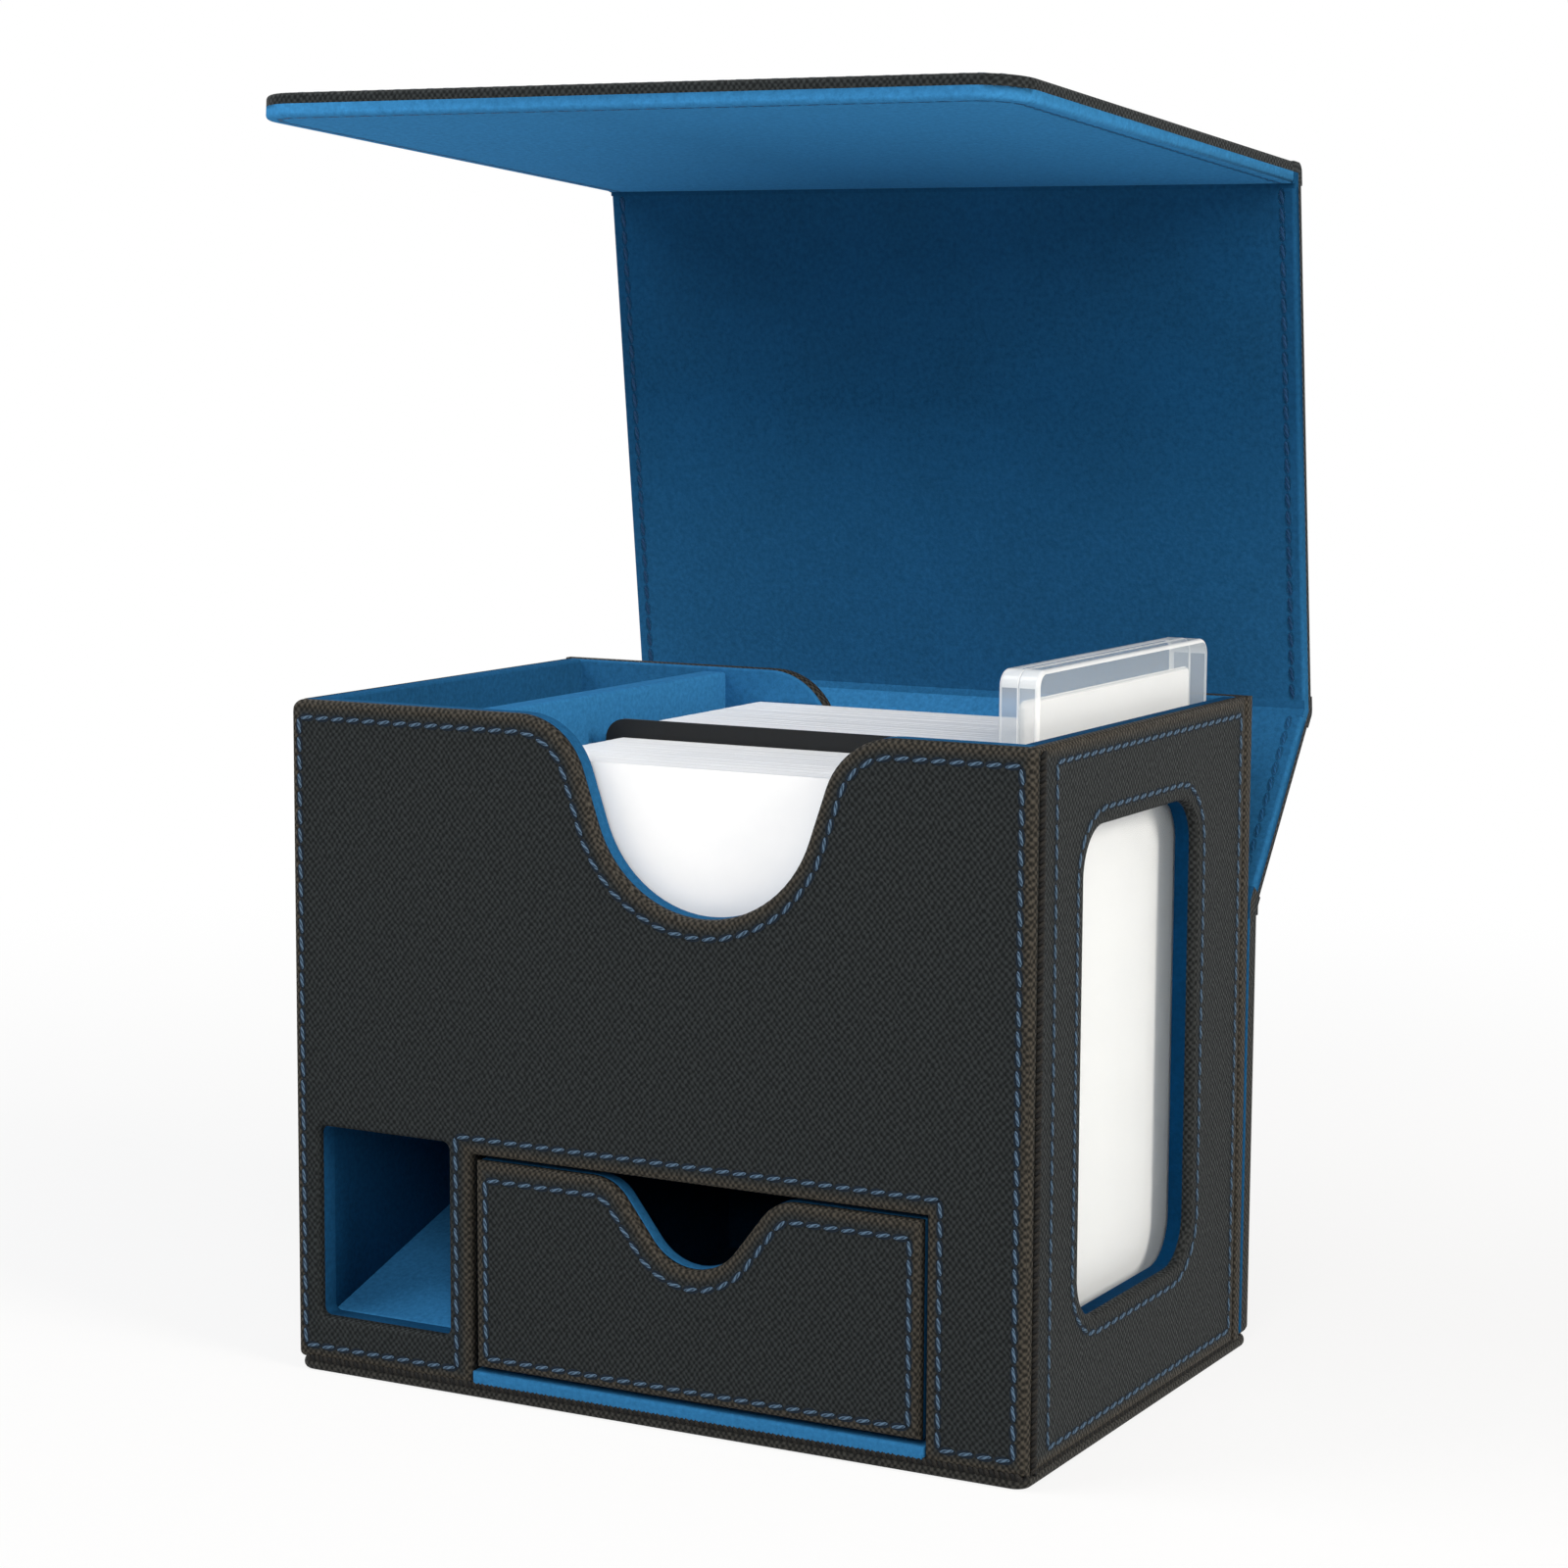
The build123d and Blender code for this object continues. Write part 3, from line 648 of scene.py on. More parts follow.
faces_turned_in_and_gap_shade = 0
for node, (free, painted_light, edge_wear_and_highlight) in lined.items():
    shell = copy_of(node)
    paint_light(shell, [(0, painted_light)])
    if node == "back_lining":
        round_edges(shell, foot_radius, 5, foot_corner, edge_wear_and_highlight)
    if free:
        round_edges(shell, soft_radius, 3, free, edge_wear_and_highlight)
    lay_weave(shell)
    for face in shell.faces:
        if is_turned_in_and_gap_shade(node, face):
            face.material_index = 1
            faces_turned_in_and_gap_shade += 1
    # The tower's baffle gets the darker cloth as painted shade.
    cloth = microfibre_painted_shade if node == "tower_baffle" else blue_microfibre
    slot = "blue_lining" if node.endswith("_lining") else "lined_board"
    put_away(shell, node + "_cloth", [cloth, black_leatherette], body_of(node), [node])
print("lined", len(lined), "boards, faces turned in", faces_turned_in_and_gap_shade)

# %% [markdown]
# ## The folding cover
# The cover is three stiff panels on one sheet: a narrow strip, the lid and the front flap. Each is a
# leatherette board outside and a lined board inside. A panel is described by the crease that it starts from,
# the way that it runs, and its length up to the next crease, which the flap doesn't have. Those come from
# the joints, so the dressing always agrees with the motion.

# %% Where the cover's panels lie
def outside_of(run):
    """The outward side of a cover panel that runs this way from its crease."""
    return Vector((0, run.z, -run.y))


def turned(run, bend):
    """A panel's way after the cover bends forward by this angle."""
    angle = radians(bend)
    return Vector((0, run.y * cos(angle) - run.z * sin(angle), run.y * sin(angle) + run.z * cos(angle)))


fold_joints = ("back_fold", "lid_fold", "flap_fold")
back_crease, lid_crease, flap_crease = (Vector(joints[name]["pos_m"]) for name in fold_joints)
strip_run = (lid_crease - back_crease).normalized()
lid_run = (flap_crease - lid_crease).normalized()
flap_bend = joints["flap_fold"]["range_deg"][1]
flap_run = turned(lid_run, flap_bend)
back_low, back_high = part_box("back_panel")
cover_half = back_high.y - back_crease.y
cover_seam = back_low.y - back_crease.y
crease_gap = back_crease.z - back_high.z
cover_side = back_high.x
panels = {
    "strip": (back_crease, strip_run, (lid_crease - back_crease).length),
    "lid": (lid_crease, lid_run, (flap_crease - lid_crease).length),
    "flap": (flap_crease, flap_run, None),
}
print("cover half thickness", round(cover_half / MM, 2), "mm, crease gap", round(crease_gap / MM, 2), "mm")

# %% [markdown]
# The leatherette boards of the cover are plain, because their edges are cut and not turned. The lined boards
# are softer, so their free inner edges are rounded, with wear and a painted highlight. The strip and the flap
# are painted paler and darker across their width as painted light, and the flap paler still at its left end
# as a painted glancing sheen. The lid is painted paler at its foot and darker towards its top, as the
# painted shade of the flap above it.

# %% Cover panels
lining_round = 0.7 * MM
crease_slack = 0.02 * MM
# Each panel: the way along which its painted light changes, stops of reach in millimetres and painted light,
# and the wear and painted highlight of its free edges.
cover_painted_light = {
    "strip": (RIGHT, [(-75, 0.9), (0, 1.1), (50, 0.8), (75, 0.15)], 0.6),
    "lid": (lid_run, [(0, 0.58), (30, 0.42), (60, 0.03), (104, 0.0)], 0.25),
    "flap": (RIGHT, [(-75, 1.4), (-10, 0.8), (75, 0.85)], 1.1),
}


def off_creases(start, run, length):
    """Leaves out the edges where a panel meets a crease, which stay square."""
    ends = [crease_gap] + ([length - crease_gap] if length else [])

    def chosen(edge):
        reach = [(vert.co - start).dot(run) for vert in edge.verts]
        return not any(all(abs(r - end) < crease_slack for r in reach) for end in ends)

    return chosen


for body, (start, run, length) in panels.items():
    leather = copy_of(body + "_panel")
    lay_weave(leather, Matrix((RIGHT, outside_of(run), run)).transposed())
    put_away(leather, body + "_panel_wrap", [black_leatherette], body, [body + "_panel"])
    free, inner = off_creases(start, run, length), borders(-outside_of(run))
    cloth = copy_of(body + "_lining")
    way, stops, edge_wear_and_highlight = cover_painted_light[body]
    paint_light(cloth, [(reach * MM, painted_light) for reach, painted_light in stops], start, way)
    round_edges(cloth, lining_round, 4, lambda edge: free(edge) and inner(edge), edge_wear_and_highlight)
    put_away(cloth, body + "_lining_cloth", [blue_microfibre], body, [body + "_lining"])
print("cover panels", list(panels))

# %% [markdown]
# ## The folds between the panels
# At a fold there is no board, only the leatherette outside and the cloth inside. The layer on the outer side
# of the bend goes round the crease in an arc, which is what the spin operator makes. The layer on the inner
# side meets itself in a mitre. At the back the cover bends the other way, so there the layers change places.
# Both are blended between the two bodies that the crease joins, so they bend with the cover and never tear.

# %% Shapes of a fold
fold_steps = 8


def only(kind, parts):
    """The vertices or the faces among an operator's results."""
    return [part for part in parts if isinstance(part, kind)]


def section(bm, start, run, near, far):
    """The end face of a cover layer, one crease gap before the crease."""
    foot, out = start - run * crease_gap, outside_of(run)
    spots = ((-cover_side, near), (cover_side, near), (cover_side, far), (-cover_side, far))
    return bm.faces.new([bm.verts.new(foot + RIGHT * x + out * n) for x, n in spots])


def fold(crease, before, after, bend, near, far, outer_side):
    """A layer at a fold: an arc on the outer side of the bend, a mitre on its inner side."""
    bm = bmesh.new()
    out, out_after = outside_of(before), outside_of(after)
    slope = 0 if outer_side else tan(radians(bend) / 2)
    made = bmesh.ops.extrude_face_region(bm, geom=[section(bm, crease, before, near, far)])["geom"]
    for vert in only(BMVert, made):
        vert.co += before * (crease_gap + (vert.co - crease).dot(out) * slope)
    if outer_side:
        made = bmesh.ops.spin(
            bm, geom=only(BMFace, made), cent=crease, axis=RIGHT, angle=radians(bend), steps=fold_steps,
            use_merge=False,
        )["geom_last"]
    made = bmesh.ops.extrude_face_region(bm, geom=only(BMFace, made))["geom"]
    for vert in only(BMVert, made):
        if outer_side:
            vert.co += after * crease_gap
        else:
            depth = (vert.co - crease).dot(out)
            vert.co = RIGHT * vert.co.x + crease + out_after * depth + after * crease_gap
    bmesh.ops.recalc_face_normals(bm, faces=bm.faces)
    return bm


print("a fold's arc has", fold_steps, "steps")

# %% Folds
mitre_room = 0.5 * MM
# The cloth at each fold is painted paler by this much: painted light.
fold_painted_light = {"back": 0.4, "lid": 0.6, "flap": 0.2}
folds = {
    "back": ("box", "strip", back_crease, UP, strip_run, joints["back_fold"]["range_deg"][0]),
    "lid": ("strip", "lid", lid_crease, strip_run, lid_run, joints["lid_fold"]["range_deg"][1]),
    "flap": ("lid", "flap", flap_crease, lid_run, flap_run, flap_bend),
}
for name, (body, next_body, crease, before, after, bend) in folds.items():
    way = (before + after).normalized()
    reach = cover_half * abs(sin(radians(bend) / 2))
    for layer, near, far, material, slot in (
        ("leather", cover_seam, cover_half, black_leatherette, "leatherette"),
        ("cloth", -cover_half, cover_seam, blue_microfibre, "blue_lining"),
    ):
        outer_side = (bend > 0) == (layer == "leather")
        room = reach if outer_side else mitre_room
        bm = fold(crease, before, after, bend, near, far, outer_side)
        paint_light(bm, [(0, fold_painted_light[name] if layer == "cloth" else 0.0)])
        lay_weave(bm, Matrix((RIGHT, outside_of(way), way)).transposed())
        for face in bm.faces:
            face.material_index = 1 if name == "back" and abs(face.normal.x) > 0.9 else 0
        board = [name + "_crease"] if layer == "leather" else []
        piece = put_away(bm, f"{name}_fold_{layer}", [material, black_leatherette], stands_for=board)
        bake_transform(piece, body, next_body, start=crease - way * room, end=crease + way * room)
print("folds", list(folds))

# %% [markdown]
# ## Stitches
# The leatherette is sewn to its boards along every edge. A machine sews at one pitch, turns on a corner with
# the needle down, and pulls each stitch into the sheet. A stitch is a sphere drawn out into a blunt lozenge,
# slanted a little as lockstitches are, over a flat dark oval that stands for the shade of the groove that it
# pulls: painted shade. One stitch of a few dozen faces is modelled and then copied along every seam, because
# there are hundreds of it.

# %% One stitch
stitch_pitch = 3.4 * MM
stitch_size = Vector((2.75, 0.66, 0.5)) * MM
stitch_lift_share = 0.12
stitch_slant = radians(11)
stitch_squareness = 0.7
groove_shade_width = 1.45 * MM
groove_shade_lift = 0.03 * MM


def one_stitch():
    """A stitch that runs along X, over a dark oval of painted shade for the groove that it pulls, to copy
    along every seam.
    """
    bm = bmesh.new()
    bm.loops.layers.uv.new("weave")
    along = Matrix.Rotation(pi / 2, 4, "Y")
    bmesh.ops.create_uvsphere(bm, u_segments=8, v_segments=6, radius=0.5, matrix=along, calc_uvs=True)
    for vert in bm.verts:
        vert.co.x = copysign(0.5 * (2 * abs(vert.co.x)) ** stitch_squareness, vert.co.x)
    lift = Matrix.Translation((0, 0, stitch_size.z * stitch_lift_share))
    lie = lift @ Matrix.Rotation(stitch_slant, 4, "Z") @ Matrix.Diagonal((*stitch_size, 1))
    bmesh.ops.transform(bm, matrix=lie, verts=bm.verts)
    below = Matrix.Translation((0, 0, groove_shade_lift)) @ Matrix.Diagonal((stitch_pitch, groove_shade_width, 1, 1))
    groove_shade = bmesh.ops.create_circle(bm, cap_ends=True, segments=12, radius=0.5, matrix=below)
    for disc in groove_shade["verts"][0].link_faces:
        disc.material_index = 1
    return bm


stitch = one_stitch()
loose_stitch = bpy.data.meshes.new("loose_stitch")
# The dark ovals under the stitches are painted shade for the groove that a seam pulls, and on the lining only
# a thin veil of it.
leather_groove_shades, lining_groove_shades = ("#0A131C", "#101D2A"), ("#051E36", "#082844")
groove_shade = (0.4 * MM, 0.9, 0.01 * MM)
leather_groove_shade = material_of("painted_groove_shade_on_leatherette", smooth_sheet, *leather_groove_shades, *groove_shade)
lining_groove_shade = material_of("painted_groove_shade_on_microfibre", smooth_sheet, *lining_groove_shades, *groove_shade, 0.25)
print("faces of a stitch", len(stitch.faces), "stitches a decimetre", round(100 * MM / stitch_pitch))

# %% [markdown]
# A seam is a path on a flat face, cut into runs at its corners, and each run is filled with whole stitches.
# The face has a frame of its own, so the path can be drawn flat, across and up.

# %% Sewing
corner_turn = radians(40)
same_point = stitch_pitch / 100


def plane_at(origin, across, up):
    """A flat face's own frame: across, up, and out towards the viewer."""
    turn = Matrix((across, up, across.cross(up))).transposed()
    return Matrix.Translation(origin) @ turn.to_4x4()


def runs_of(path):
    """Cut a path into runs at its corners, without the points that arcs share."""
    points = path[:1]
    for point in path[1:]:
        if (point - points[-1]).length > same_point:
            points.append(point)
    runs = [points[:1]]
    for before, here, after in zip(points, points[1:], points[2:]):
        runs[-1].append(here)
        if (here - before).angle(after - here) > corner_turn:
            runs.append([here])
    runs[-1].append(points[-1])
    return runs


def spot_on(run, distance):
    """The place and the way of a run at a distance from its start."""
    for a, b in zip(run, run[1:]):
        step = (b - a).length
        if distance <= step:
            break
        distance -= step
    way = (b - a).normalized()
    return a + way * min(distance, step), way


def sew(name, body, face, paths, material):
    """Fill the paths on a face with stitches over their painted groove shade, as one piece."""
    bm = bmesh.new()
    total = 0
    for run in (run for path in paths for run in runs_of(path)):
        length = sum((b - a).length for a, b in zip(run, run[1:]))
        count = max(1, round(length / stitch_pitch))
        total += count
        for k in range(count):
            spot, way = spot_on(run, length * (k + 0.5) / count)
            stitch.to_mesh(loose_stitch)
            turn = Matrix.Rotation(atan2(way.y, way.x), 4, "Z")
            loose_stitch.transform(face @ Matrix.Translation((spot.x, spot.y, 0)) @ turn)
            bm.from_mesh(loose_stitch)
    groove_shade = leather_groove_shade if material == threads["slate"] else lining_groove_shade
    put_away(bm, name, [material, groove_shade], body, bend_angle=80)
    return total


print("a seam turns at", round(degrees(corner_turn)), "degrees")

# %% [markdown]
# Two shapes of path cover every seam: a loop, and a line along a top edge that dips round a thumb cut. The
# cut is a low arc, two straight leaning flanks and two shoulder arcs. A line that stays a fixed distance
# inside it has the same three centres, with one radius larger and two smaller.

# %% Seam paths
def arc(centre, radius, start, end, steps=12):
    """Points along an arc."""
    angles = (start + (end - start) * k / steps for k in range(steps + 1))
    return [centre + Vector((cos(a), sin(a))) * radius for a in angles]


def corners(*spots):
    """Square corners of a path."""
    return [Vector(spot) for spot in spots]


def square_loop(left, right, bottom, top):
    """A closed loop with square corners."""
    return corners((left, bottom), (right, bottom), (right, top), (left, top), (left, bottom))


def rounded_loop(left, right, bottom, top, radius, steps=6):
    """A closed loop with round corners, from its lower left corner."""
    points = []
    centres = square_loop(left + radius, right - radius, bottom + radius, top - radius)[:4]
    for turn, centre in enumerate(centres):
        start = pi + turn * pi / 2
        points += arc(centre, radius, start, start + pi / 2, steps)
    return points + points[:1]


def thumb_line(left, right, top, cut, inset):
    """A line along a top edge, a fixed distance inside it and its thumb cut."""
    centre, depth, radius, shoulder, flank = cut
    lean = radians(flank)
    bends = radius + shoulder
    straight = (depth - bends + bends * sin(lean)) / cos(lean)
    reach = bends * cos(lean) + straight * sin(lean)
    low = Vector((centre, top - depth + radius))
    return (
        [Vector((left, top - inset))]
        + arc(Vector((centre - reach, top - shoulder)), shoulder - inset, pi / 2, lean)
        + arc(low, radius + inset, pi + lean, 2 * pi - lean, 24)
        + arc(Vector((centre + reach, top - shoulder)), shoulder - inset, pi - lean, pi / 2)
        + [Vector((right, top - inset))]
    )


print("a rounded loop has", len(rounded_loop(0, 1, 0, 1, 0.2)), "points")

# %% [markdown]
# ## Seams of the box
# The front has one long seam: up the left side, along the top and its thumb cut, down the right side, and
# round the drawer's opening. The right wall has a seam round its edge and a second one round the window.

# %% Paths on the walls
wall_top = wall_high.z
top_inset = 3.2 * MM
foot_z = 5.0 * MM
left_x, right_x = wall_low.x + 1.9 * MM, wall_high.x - 2.4 * MM
hole_left, hole_right = drawer_hole[0] - 3.3 * MM, drawer_hole[1] + 2.6 * MM
hole_top = drawer_hole[3] + 3.1 * MM
front_path = thumb_line(left_x, right_x, wall_top, thumb_cut, top_inset) + corners(
    (right_x, foot_z), (hole_right, foot_z), (hole_right, hole_top), (hole_left, hole_top),
    (hole_left, foot_z), (left_x, foot_z), (left_x, wall_top - top_inset),
)

window_inset = 3.0 * MM
ring = rounded_loop(*grown(window, window_inset), window_corner + window_inset)
side_foot, side_rear = 5.3 * MM, 43.0 * MM
right_front, left_front = 40.6 * MM, 41.5 * MM
right_loop = square_loop(-right_front, side_rear, side_foot, wall_top - top_inset)
left_loop = square_loop(-side_rear, left_front, side_foot, wall_top - top_inset)

rear_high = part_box("rear_panel")[1]
rear_cut = (-thumb_cut[0], *thumb_cut[1:])
rear_side = rear_high.x - 4.0 * MM
rear_line = thumb_line(-rear_side, rear_side, rear_high.z, rear_cut, top_inset)

drawer_low, drawer_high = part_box("drawer_front")
drawer_margin, drawer_inset = 2.2 * MM, 3.4 * MM
drawer_left, drawer_right = drawer_low.x + drawer_margin, drawer_high.x - drawer_margin
drawer_foot = drawer_low.z + 2.0 * MM
drawer_path = thumb_line(drawer_left, drawer_right, drawer_high.z, drawer_notch, drawer_inset) + corners(
    (drawer_right, drawer_foot),
    (drawer_left, drawer_foot),
    (drawer_left, drawer_high.z - drawer_inset),
)
print("corners and points of the front's path", len(front_path))

# %% Sew the walls and the drawer front
side_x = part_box("right_panel")[1].x
wall_seams = (
    ("front_seam", "box", plane_at((0, wall_low.y, 0), RIGHT, UP), [front_path]),
    ("right_seam", "box", plane_at((side_x, 0, 0), BACK, UP), [right_loop, ring]),
    ("left_seam", "box", plane_at((-side_x, 0, 0), FRONT, UP), [left_loop]),
    ("rear_seam", "box", plane_at((0, rear_high.y, 0), LEFT, UP), [rear_line]),
    ("drawer_seam", "drawer", plane_at((0, drawer_low.y, 0), RIGHT, UP), [drawer_path]),
)
stitches = 0
for name, body, face, paths in wall_seams:
    stitches += sew(name, body, face, paths, threads["slate"])
print("stitches on the box", stitches)

# %% [markdown]
# ## Seams of the cover
# The cover is sewn along its outer edge only: up both sides of the strip and the lid, and round the flap. No
# seam crosses it at the creases, because needle holes there would tear. Inside, the thread is close to the
# lining's own blue and sinks into the nap, so it reads as a faint dashed groove and clears the front's
# stitches when the flap is shut.

# %% Sew the cover
cover_margin = 2.6 * MM
flap_corner = 9.0 * MM
sunk_share = 0.25
flap_length = max((v.co - flap_crease).dot(flap_run) for v in frame["nodes"]["flap_panel"].data.vertices)
edge = cover_side - cover_margin


def panel_seams(first, last):
    """The two side seams of a panel."""
    return [[Vector((side, first)), Vector((side, last))] for side in (-edge, edge)]


def flap_seam(first, last, radius):
    """One seam round the three free sides of the flap."""
    left = arc(Vector((radius - edge, last - radius)), radius, pi, pi / 2, 6)
    right = arc(Vector((edge - radius, last - radius)), radius, pi / 2, 0, 6)
    return [[Vector((-edge, first))] + left + right + [Vector((edge, first))]]


stitches = 0
for body, (start, run, length) in panels.items():
    out = outside_of(run)
    if length:
        seams = panel_seams(crease_gap, length - crease_gap)
    else:
        seams = flap_seam(crease_gap, flap_length - cover_margin, flap_corner - cover_margin)
    inside = plane_at(start - out * cover_half, RIGHT, run) @ Matrix.Diagonal((1, 1, sunk_share, 1))
    outside = plane_at(start + out * cover_half, LEFT, run)
    inner_thread = threads["deep_blue" if body == "lid" else "mid_blue"]
    stitches += sew(body + "_inner_seam", body, inside, seams, inner_thread)
    stitches += sew(body + "_outer_seam", body, outside, seams, threads["slate"])
back_foot = back_low.z + cover_margin
back_seams = panel_seams(back_foot, back_high.z) + [corners((-edge, back_foot), (edge, back_foot))]
back_face = plane_at((0, back_high.y, 0), LEFT, UP)
stitches += sew("back_outer_seam", "box", back_face, back_seams, threads["slate"])
print("stitches on the cover", stitches)

# %% [markdown]
# ## Laced seams
# Where the front meets the side walls, and the walls meet the base, the sheets are laced with a thin thread
# that sits in the joint. Its two strands wind about each other: one black, and one painted a lighter
# brown-grey as a painted glint on the black lace. A spin that climbs as it turns makes each strand, and the
# lace is then turned to lie along its joint.

# %% A lace
lace_strand = 0.5 * MM
lace_wind = 0.42 * MM
lace_turn = 1.95 * MM
lace_steps = 9


def twisted_lace(foot, top):
    """A two-strand lace between two points."""
    bm = bmesh.new()
    bm.loops.layers.uv.new("weave")
    height = (top - foot).length
    turns = height / lace_turn
    steps = round(turns * lace_steps)
    for strand in range(2):
        side = Vector((cos(strand * pi), sin(strand * pi), 0))
        way = Vector((-side.y, side.x, 0)) * (2 * pi * lace_wind) + UP * lace_turn
        tilt = UP.rotation_difference(way).to_matrix().to_4x4()
        place = Matrix.Translation(side * lace_wind) @ tilt
        made = bmesh.ops.create_circle(bm, cap_ends=True, segments=7, radius=lace_strand, matrix=place)
        ring = made["verts"]
        edges = list({edge for vert in ring for edge in vert.link_edges})
        faces = list({face for vert in ring for face in vert.link_faces})
        earlier = set(bm.faces) - set(faces)
        bmesh.ops.spin(
            bm, geom=ring + edges + faces, cent=(0, 0, 0), axis=UP, dvec=(0, 0, height / steps),
            angle=2 * pi * turns, steps=steps, use_merge=False,
        )
        for face in set(bm.faces) - earlier:
            face.material_index = strand
    bmesh.ops.recalc_face_normals(bm, faces=bm.faces)
    lay_weave(bm)
    lie = UP.rotation_difference(top - foot).to_matrix().to_4x4()
    bmesh.ops.transform(bm, matrix=Matrix.Translation(foot) @ lie, verts=bm.verts)
    return bm


print("a lace is", round(2 * (lace_strand + lace_wind) / MM, 2), "mm thick")

# %% Laces
front_lace_inset = 0.6 * MM
side_lace_inset = 0.95 * MM
corner_inset = 0.15 * MM
lace_stop = 2 * MM
corner_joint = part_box("right_panel")[0].y + 1.2 * MM
base_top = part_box("base_panel")[1].z
near, far = wall_low.y + front_lace_inset, rear_high.y - front_lace_inset
east, west = wall_high.x - side_lace_inset, wall_low.x + side_lace_inset
corner = wall_high.x - corner_inset
low, high = base_top + lace_stop, wall_top - lace_stop
laces = {
    "front_right_lace": ((corner, corner_joint, base_top), (corner, corner_joint, wall_top - MM)),
    "front_left_lace": ((-corner, corner_joint, low), (-corner, corner_joint, high)),
    "front_foot_lace": ((west + MM, near, base_top), (east, near, base_top)),
    "right_foot_lace": ((east, near, base_top), (east, far, base_top)),
    "left_foot_lace": ((west, near + lace_stop + MM, base_top), (west, far, base_top)),
}
for name, (foot, top) in laces.items():
    lace = twisted_lace(Vector(foot), Vector(top))
    put_away(lace, name, [threads["black"], threads["painted_glint"]], "box", bend_angle=80)
print("laces", len(laces), "with a turn every", round(lace_turn / MM, 2), "mm")

# %% [markdown]
# ## Decks of sleeved cards
# A deck is a row of separate cards, each a thin plate with round corners. A block with drawn lines would be
# lighter, but its edge would look too straight: cards never stand perfectly even. So each one is shifted a
# little by a seeded draw, which gives the same deck every time.

# %% Card decks
card_pitch = 0.72 * MM
card_corner = 3.2 * MM
card_slip = 0.05 * MM
card_gap_share = 0.015


def deck_of(node, seed):
    """A deck of single cards in the space of a block."""
    low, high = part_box(node)
    draw = Random(seed)
    count = round((high.y - low.y) / card_pitch)
    pitch = (high.y - low.y) / count
    bm = bmesh.new()
    for k in range(count):
        shift = draw.uniform(-card_slip, card_slip)
        drop = draw.uniform(0, card_slip)
        loop = rounded_loop(low.x + shift, high.x + shift, low.z, high.z - drop, card_corner, 4)[:-1]
        face = bm.faces.new([bm.verts.new((spot.x, low.y + k * pitch, spot.y)) for spot in loop])
        made = bmesh.ops.extrude_face_region(bm, geom=[face], use_keep_orig=True)["geom"]
        bmesh.ops.translate(bm, vec=(0, pitch * (1 - card_gap_share), 0), verts=only(BMVert, made))
    bmesh.ops.recalc_face_normals(bm, faces=bm.faces)
    return bm, count


for node, seed in (("front_deck", 5), ("rear_deck", 11)):
    deck, count = deck_of(node, seed)
    put_away(deck, node + "_cards", [card_white], body_of(node), [node])
    print(node, count, "cards")

# %% [markdown]
# ## The display case, the divider and the magnets
# The case's halves are copies of their solids with polished, rounded outer edges. Faces that look outward
# stay clear, the narrow rims are painted milky and the rounded edges painted bright, as painted light. The
# divider, the display card and the magnets already have the right shape, so they keep their solids and only
# get a finish.

# %% Case and carried-over pieces
case_round = 0.7 * MM
seam_round = 0.25 * MM
acrylics = [clear_face, rim_painted_light, edge_painted_light]
for node, face_way, seam_way in (("case_inner_half", LEFT, RIGHT), ("case_outer_half", RIGHT, LEFT)):
    shell = copy_of(node)
    round_edges(shell, case_round, 4, borders(face_way))
    round_edges(shell, seam_round, 2, borders(seam_way))
    for face in shell.faces:
        across, *rims = (abs(n) > flat_enough for n in face.normal)
        face.material_index = 0 if across else 1 if any(rims) else 2
    put_away(shell, node + "_polished", acrylics, body_of(node), [node])
carried = {
    "display_card": card_white,
    "card_divider": divider_black,
    "front_magnets": magnet_plate,
    "flap_magnets": magnet_plate,
}
for node, material in carried.items():
    mesh = frame["nodes"][node].data
    mesh.materials.clear()
    mesh.materials.append(material)
print("carried over", list(carried))

# %% [markdown]
# ## Floor, background and light
# The photo is a studio shot on white. The floor is a large pale sheet that keeps the soft shadow, and the
# world is an even white dome. Rays from the camera, off gloss or through clear acrylic see both as plain
# white, while the light that reaches the object stays at a plain level.

# %% Floor
floor_half = 3.0
paper_fibre = 3 * MM
shadow_reach = (0.15, 0.6)
near_white = 0.82


def seen_directly(tree):
    """One for rays from the camera, off gloss or through clear acrylic, and nought for light that bounces."""
    path = add(tree, "LightPath").outputs
    pair = {0: path["Is Camera Ray"], 1: path["Is Glossy Ray"]}
    seen = add(tree, "Math", {"operation": "MAXIMUM"}, pair).outputs[0]
    return add(tree, "Math", {"operation": "MAXIMUM"}, {0: seen, 1: path["Is Transmission Ray"]})


def white_paper(tree):
    """A matt paper sweep that keeps a soft shadow near the object and is plain white further off."""
    place = add(tree, "TexCoord").outputs["Object"]
    fibre = add(tree, "TexNoise", {"Scale": 1 / paper_fibre}, {"Vector": place}).outputs["Fac"]
    tone = add(tree, "Mix", {"data_type": "RGBA", 6: ink("#F2F2F2"), 7: ink("#F6F6F6")}, {0: fibre})
    matt = {"Roughness": 0.9, "Specular IOR Level": 0.1}
    paper = add(tree, "BsdfPrincipled", matt, {"Base Color": tone.outputs[2]})
    far = add(tree, "VectorMath", {"operation": "LENGTH"}, {0: place})
    fade = {"interpolation_type": "SMOOTHSTEP", 1: shadow_reach[0], 2: shadow_reach[1], 3: near_white, 4: 1.0}
    white = add(tree, "MapRange", fade, {0: far.outputs["Value"]})
    direct = seen_directly(tree)
    share = add(tree, "Math", {"operation": "MULTIPLY"}, {0: white.outputs[0], 1: direct.outputs[0]})
    glow = add(tree, "Emission", {"Color": (1, 1, 1, 1), "Strength": 1.0})
    return add(tree, "MixShader", links={0: share.outputs[0], 1: paper.outputs[0], 2: glow.outputs[0]})


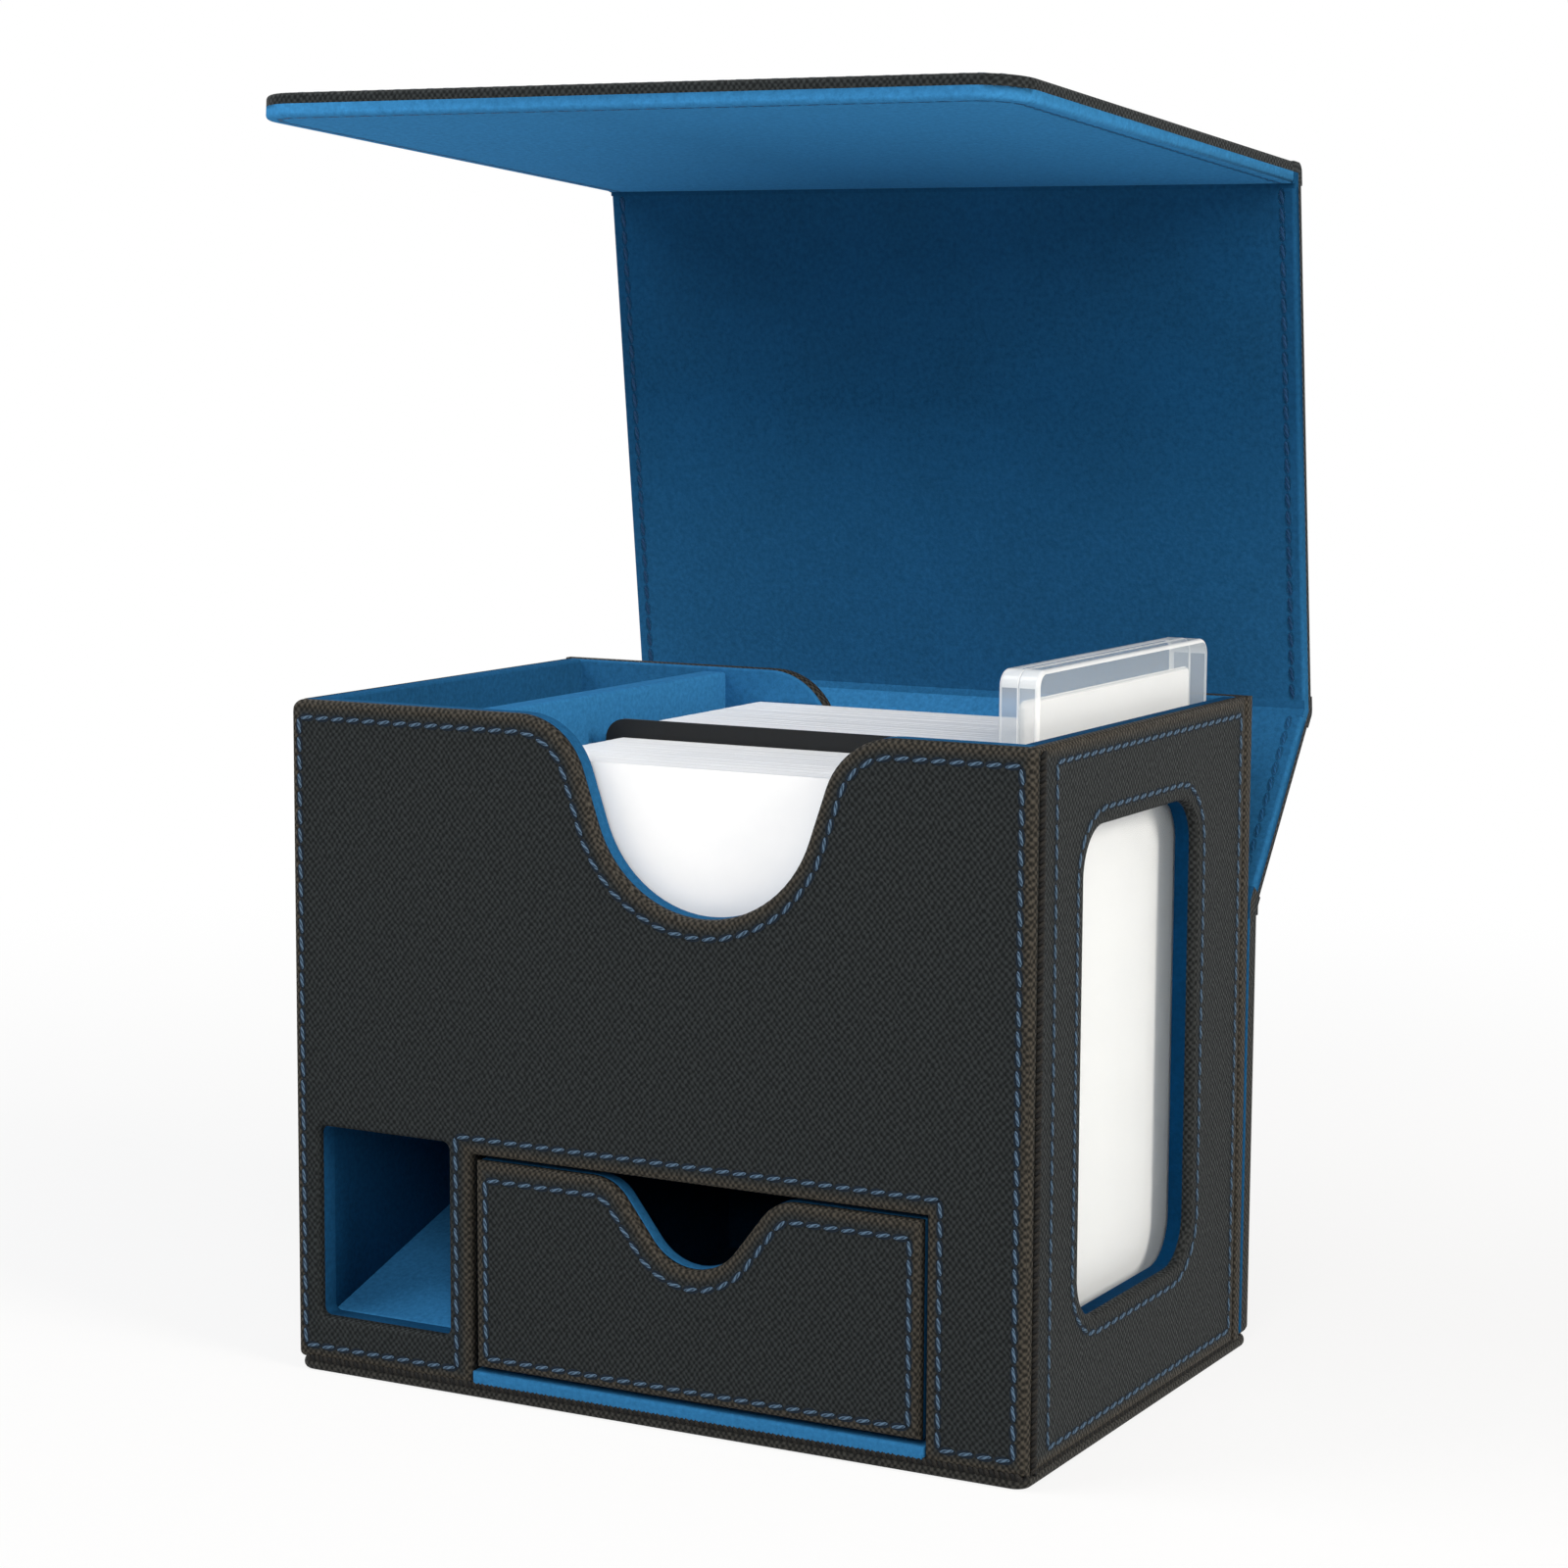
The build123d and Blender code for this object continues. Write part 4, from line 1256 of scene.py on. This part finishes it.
bm = bmesh.new()
bmesh.ops.create_grid(bm, x_segments=1, y_segments=1, size=floor_half)
mesh = bpy.data.meshes.new("studio_floor")
bm.to_mesh(mesh)
bm.free()
mesh.materials.append(material_of("matt_backdrop_paper", white_paper))
floor = show("studio_floor", mesh)
print("floor", 2 * floor_half, "m wide")

# %% Dome
world = bpy.data.worlds.new("studio_dome")
bpy.context.scene.world = world
world.use_nodes = True
sky = world.node_tree
sky.nodes.clear()
clear = seen_directly(sky)
dome = add(sky, "Background", {"Color": ink("#F4F8FF"), "Strength": 0.12})
white = add(sky, "Background", {"Color": (1, 1, 1, 1), "Strength": 1.0})
mixed = add(sky, "MixShader", links={0: clear.outputs[0], 1: dome.outputs[0], 2: white.outputs[0]})
add(sky, "OutputWorld", links={"Surface": mixed.outputs[0]})
print("dome", world.name)

# %% [markdown]
# Broad lamps stand where a photographer would put soft boxes. The left one lights the front and the lid's
# inside, the front one fills, and the warm one on the right lights the window's wall.

# %% Lamps
def soft_box(name, place, aim, size, watts, colour):
    """A square area lamp that looks at a point."""
    lamp = bpy.data.lights.new(name, "AREA")
    lamp.size = size
    lamp.energy = watts
    lamp.color = ink(colour)[:3]
    holder = show(name, lamp)
    aimed = (Vector(aim) - Vector(place)).to_track_quat("-Z", "Y").to_matrix().to_4x4()
    holder.matrix_world = Matrix.Translation(place) @ aimed
    return holder


middle = (0, 0, 0.1)
lamps = (
    soft_box("left_soft_box", (-0.9, -0.6, 1.2), middle, 1.0, 13, "#FFFFFF"),
    soft_box("front_soft_box", (0.45, -1.25, 0.85), middle, 0.9, 11, "#FFFFFF"),
    soft_box("right_soft_box", (1.5, -0.25, 0.8), middle, 0.6, 21, "#FFF6EA"),
)
print("lamps", {lamp.name: lamp.data.energy for lamp in lamps})

# %% [markdown]
# ## Camera
# The camera was fitted to corners of the box in the photo: how far it turns to the left, tips down and rolls,
# and how long its lens is for a 36 mm sensor.

# %% Camera
lens = 83.588
sensor = 36.0
turn_left, tip_down, roll = radians(28.3144), radians(7.3529), radians(0.3148)
camera_place = Vector((0.320302, -0.591934, 0.197060))
camera_data = bpy.data.cameras.new("photo_camera")
camera_data.sensor_fit = "HORIZONTAL"
camera_data.sensor_width = sensor
camera_data.lens = lens
camera_data.clip_start = 0.01
camera = show("photo_camera", camera_data)
camera.matrix_world = (
    Matrix.Translation(camera_place)
    @ Matrix.Rotation(turn_left, 4, "Z")
    @ Matrix.Rotation(radians(90) - tip_down, 4, "X")
    @ Matrix.Rotation(roll, 4, "Z")
)
bpy.context.scene.camera = camera
bpy.context.scene.view_settings.view_transform = "Standard"
print("camera at", [round(v / MM) for v in camera_place], "mm")

# %% [markdown]
# ## Sizes and the last update
# The dressing may be a little larger than the solids, but not by much. The last cell only brings the scene up
# to date.

# %% The last update
bpy.context.view_layer.update()
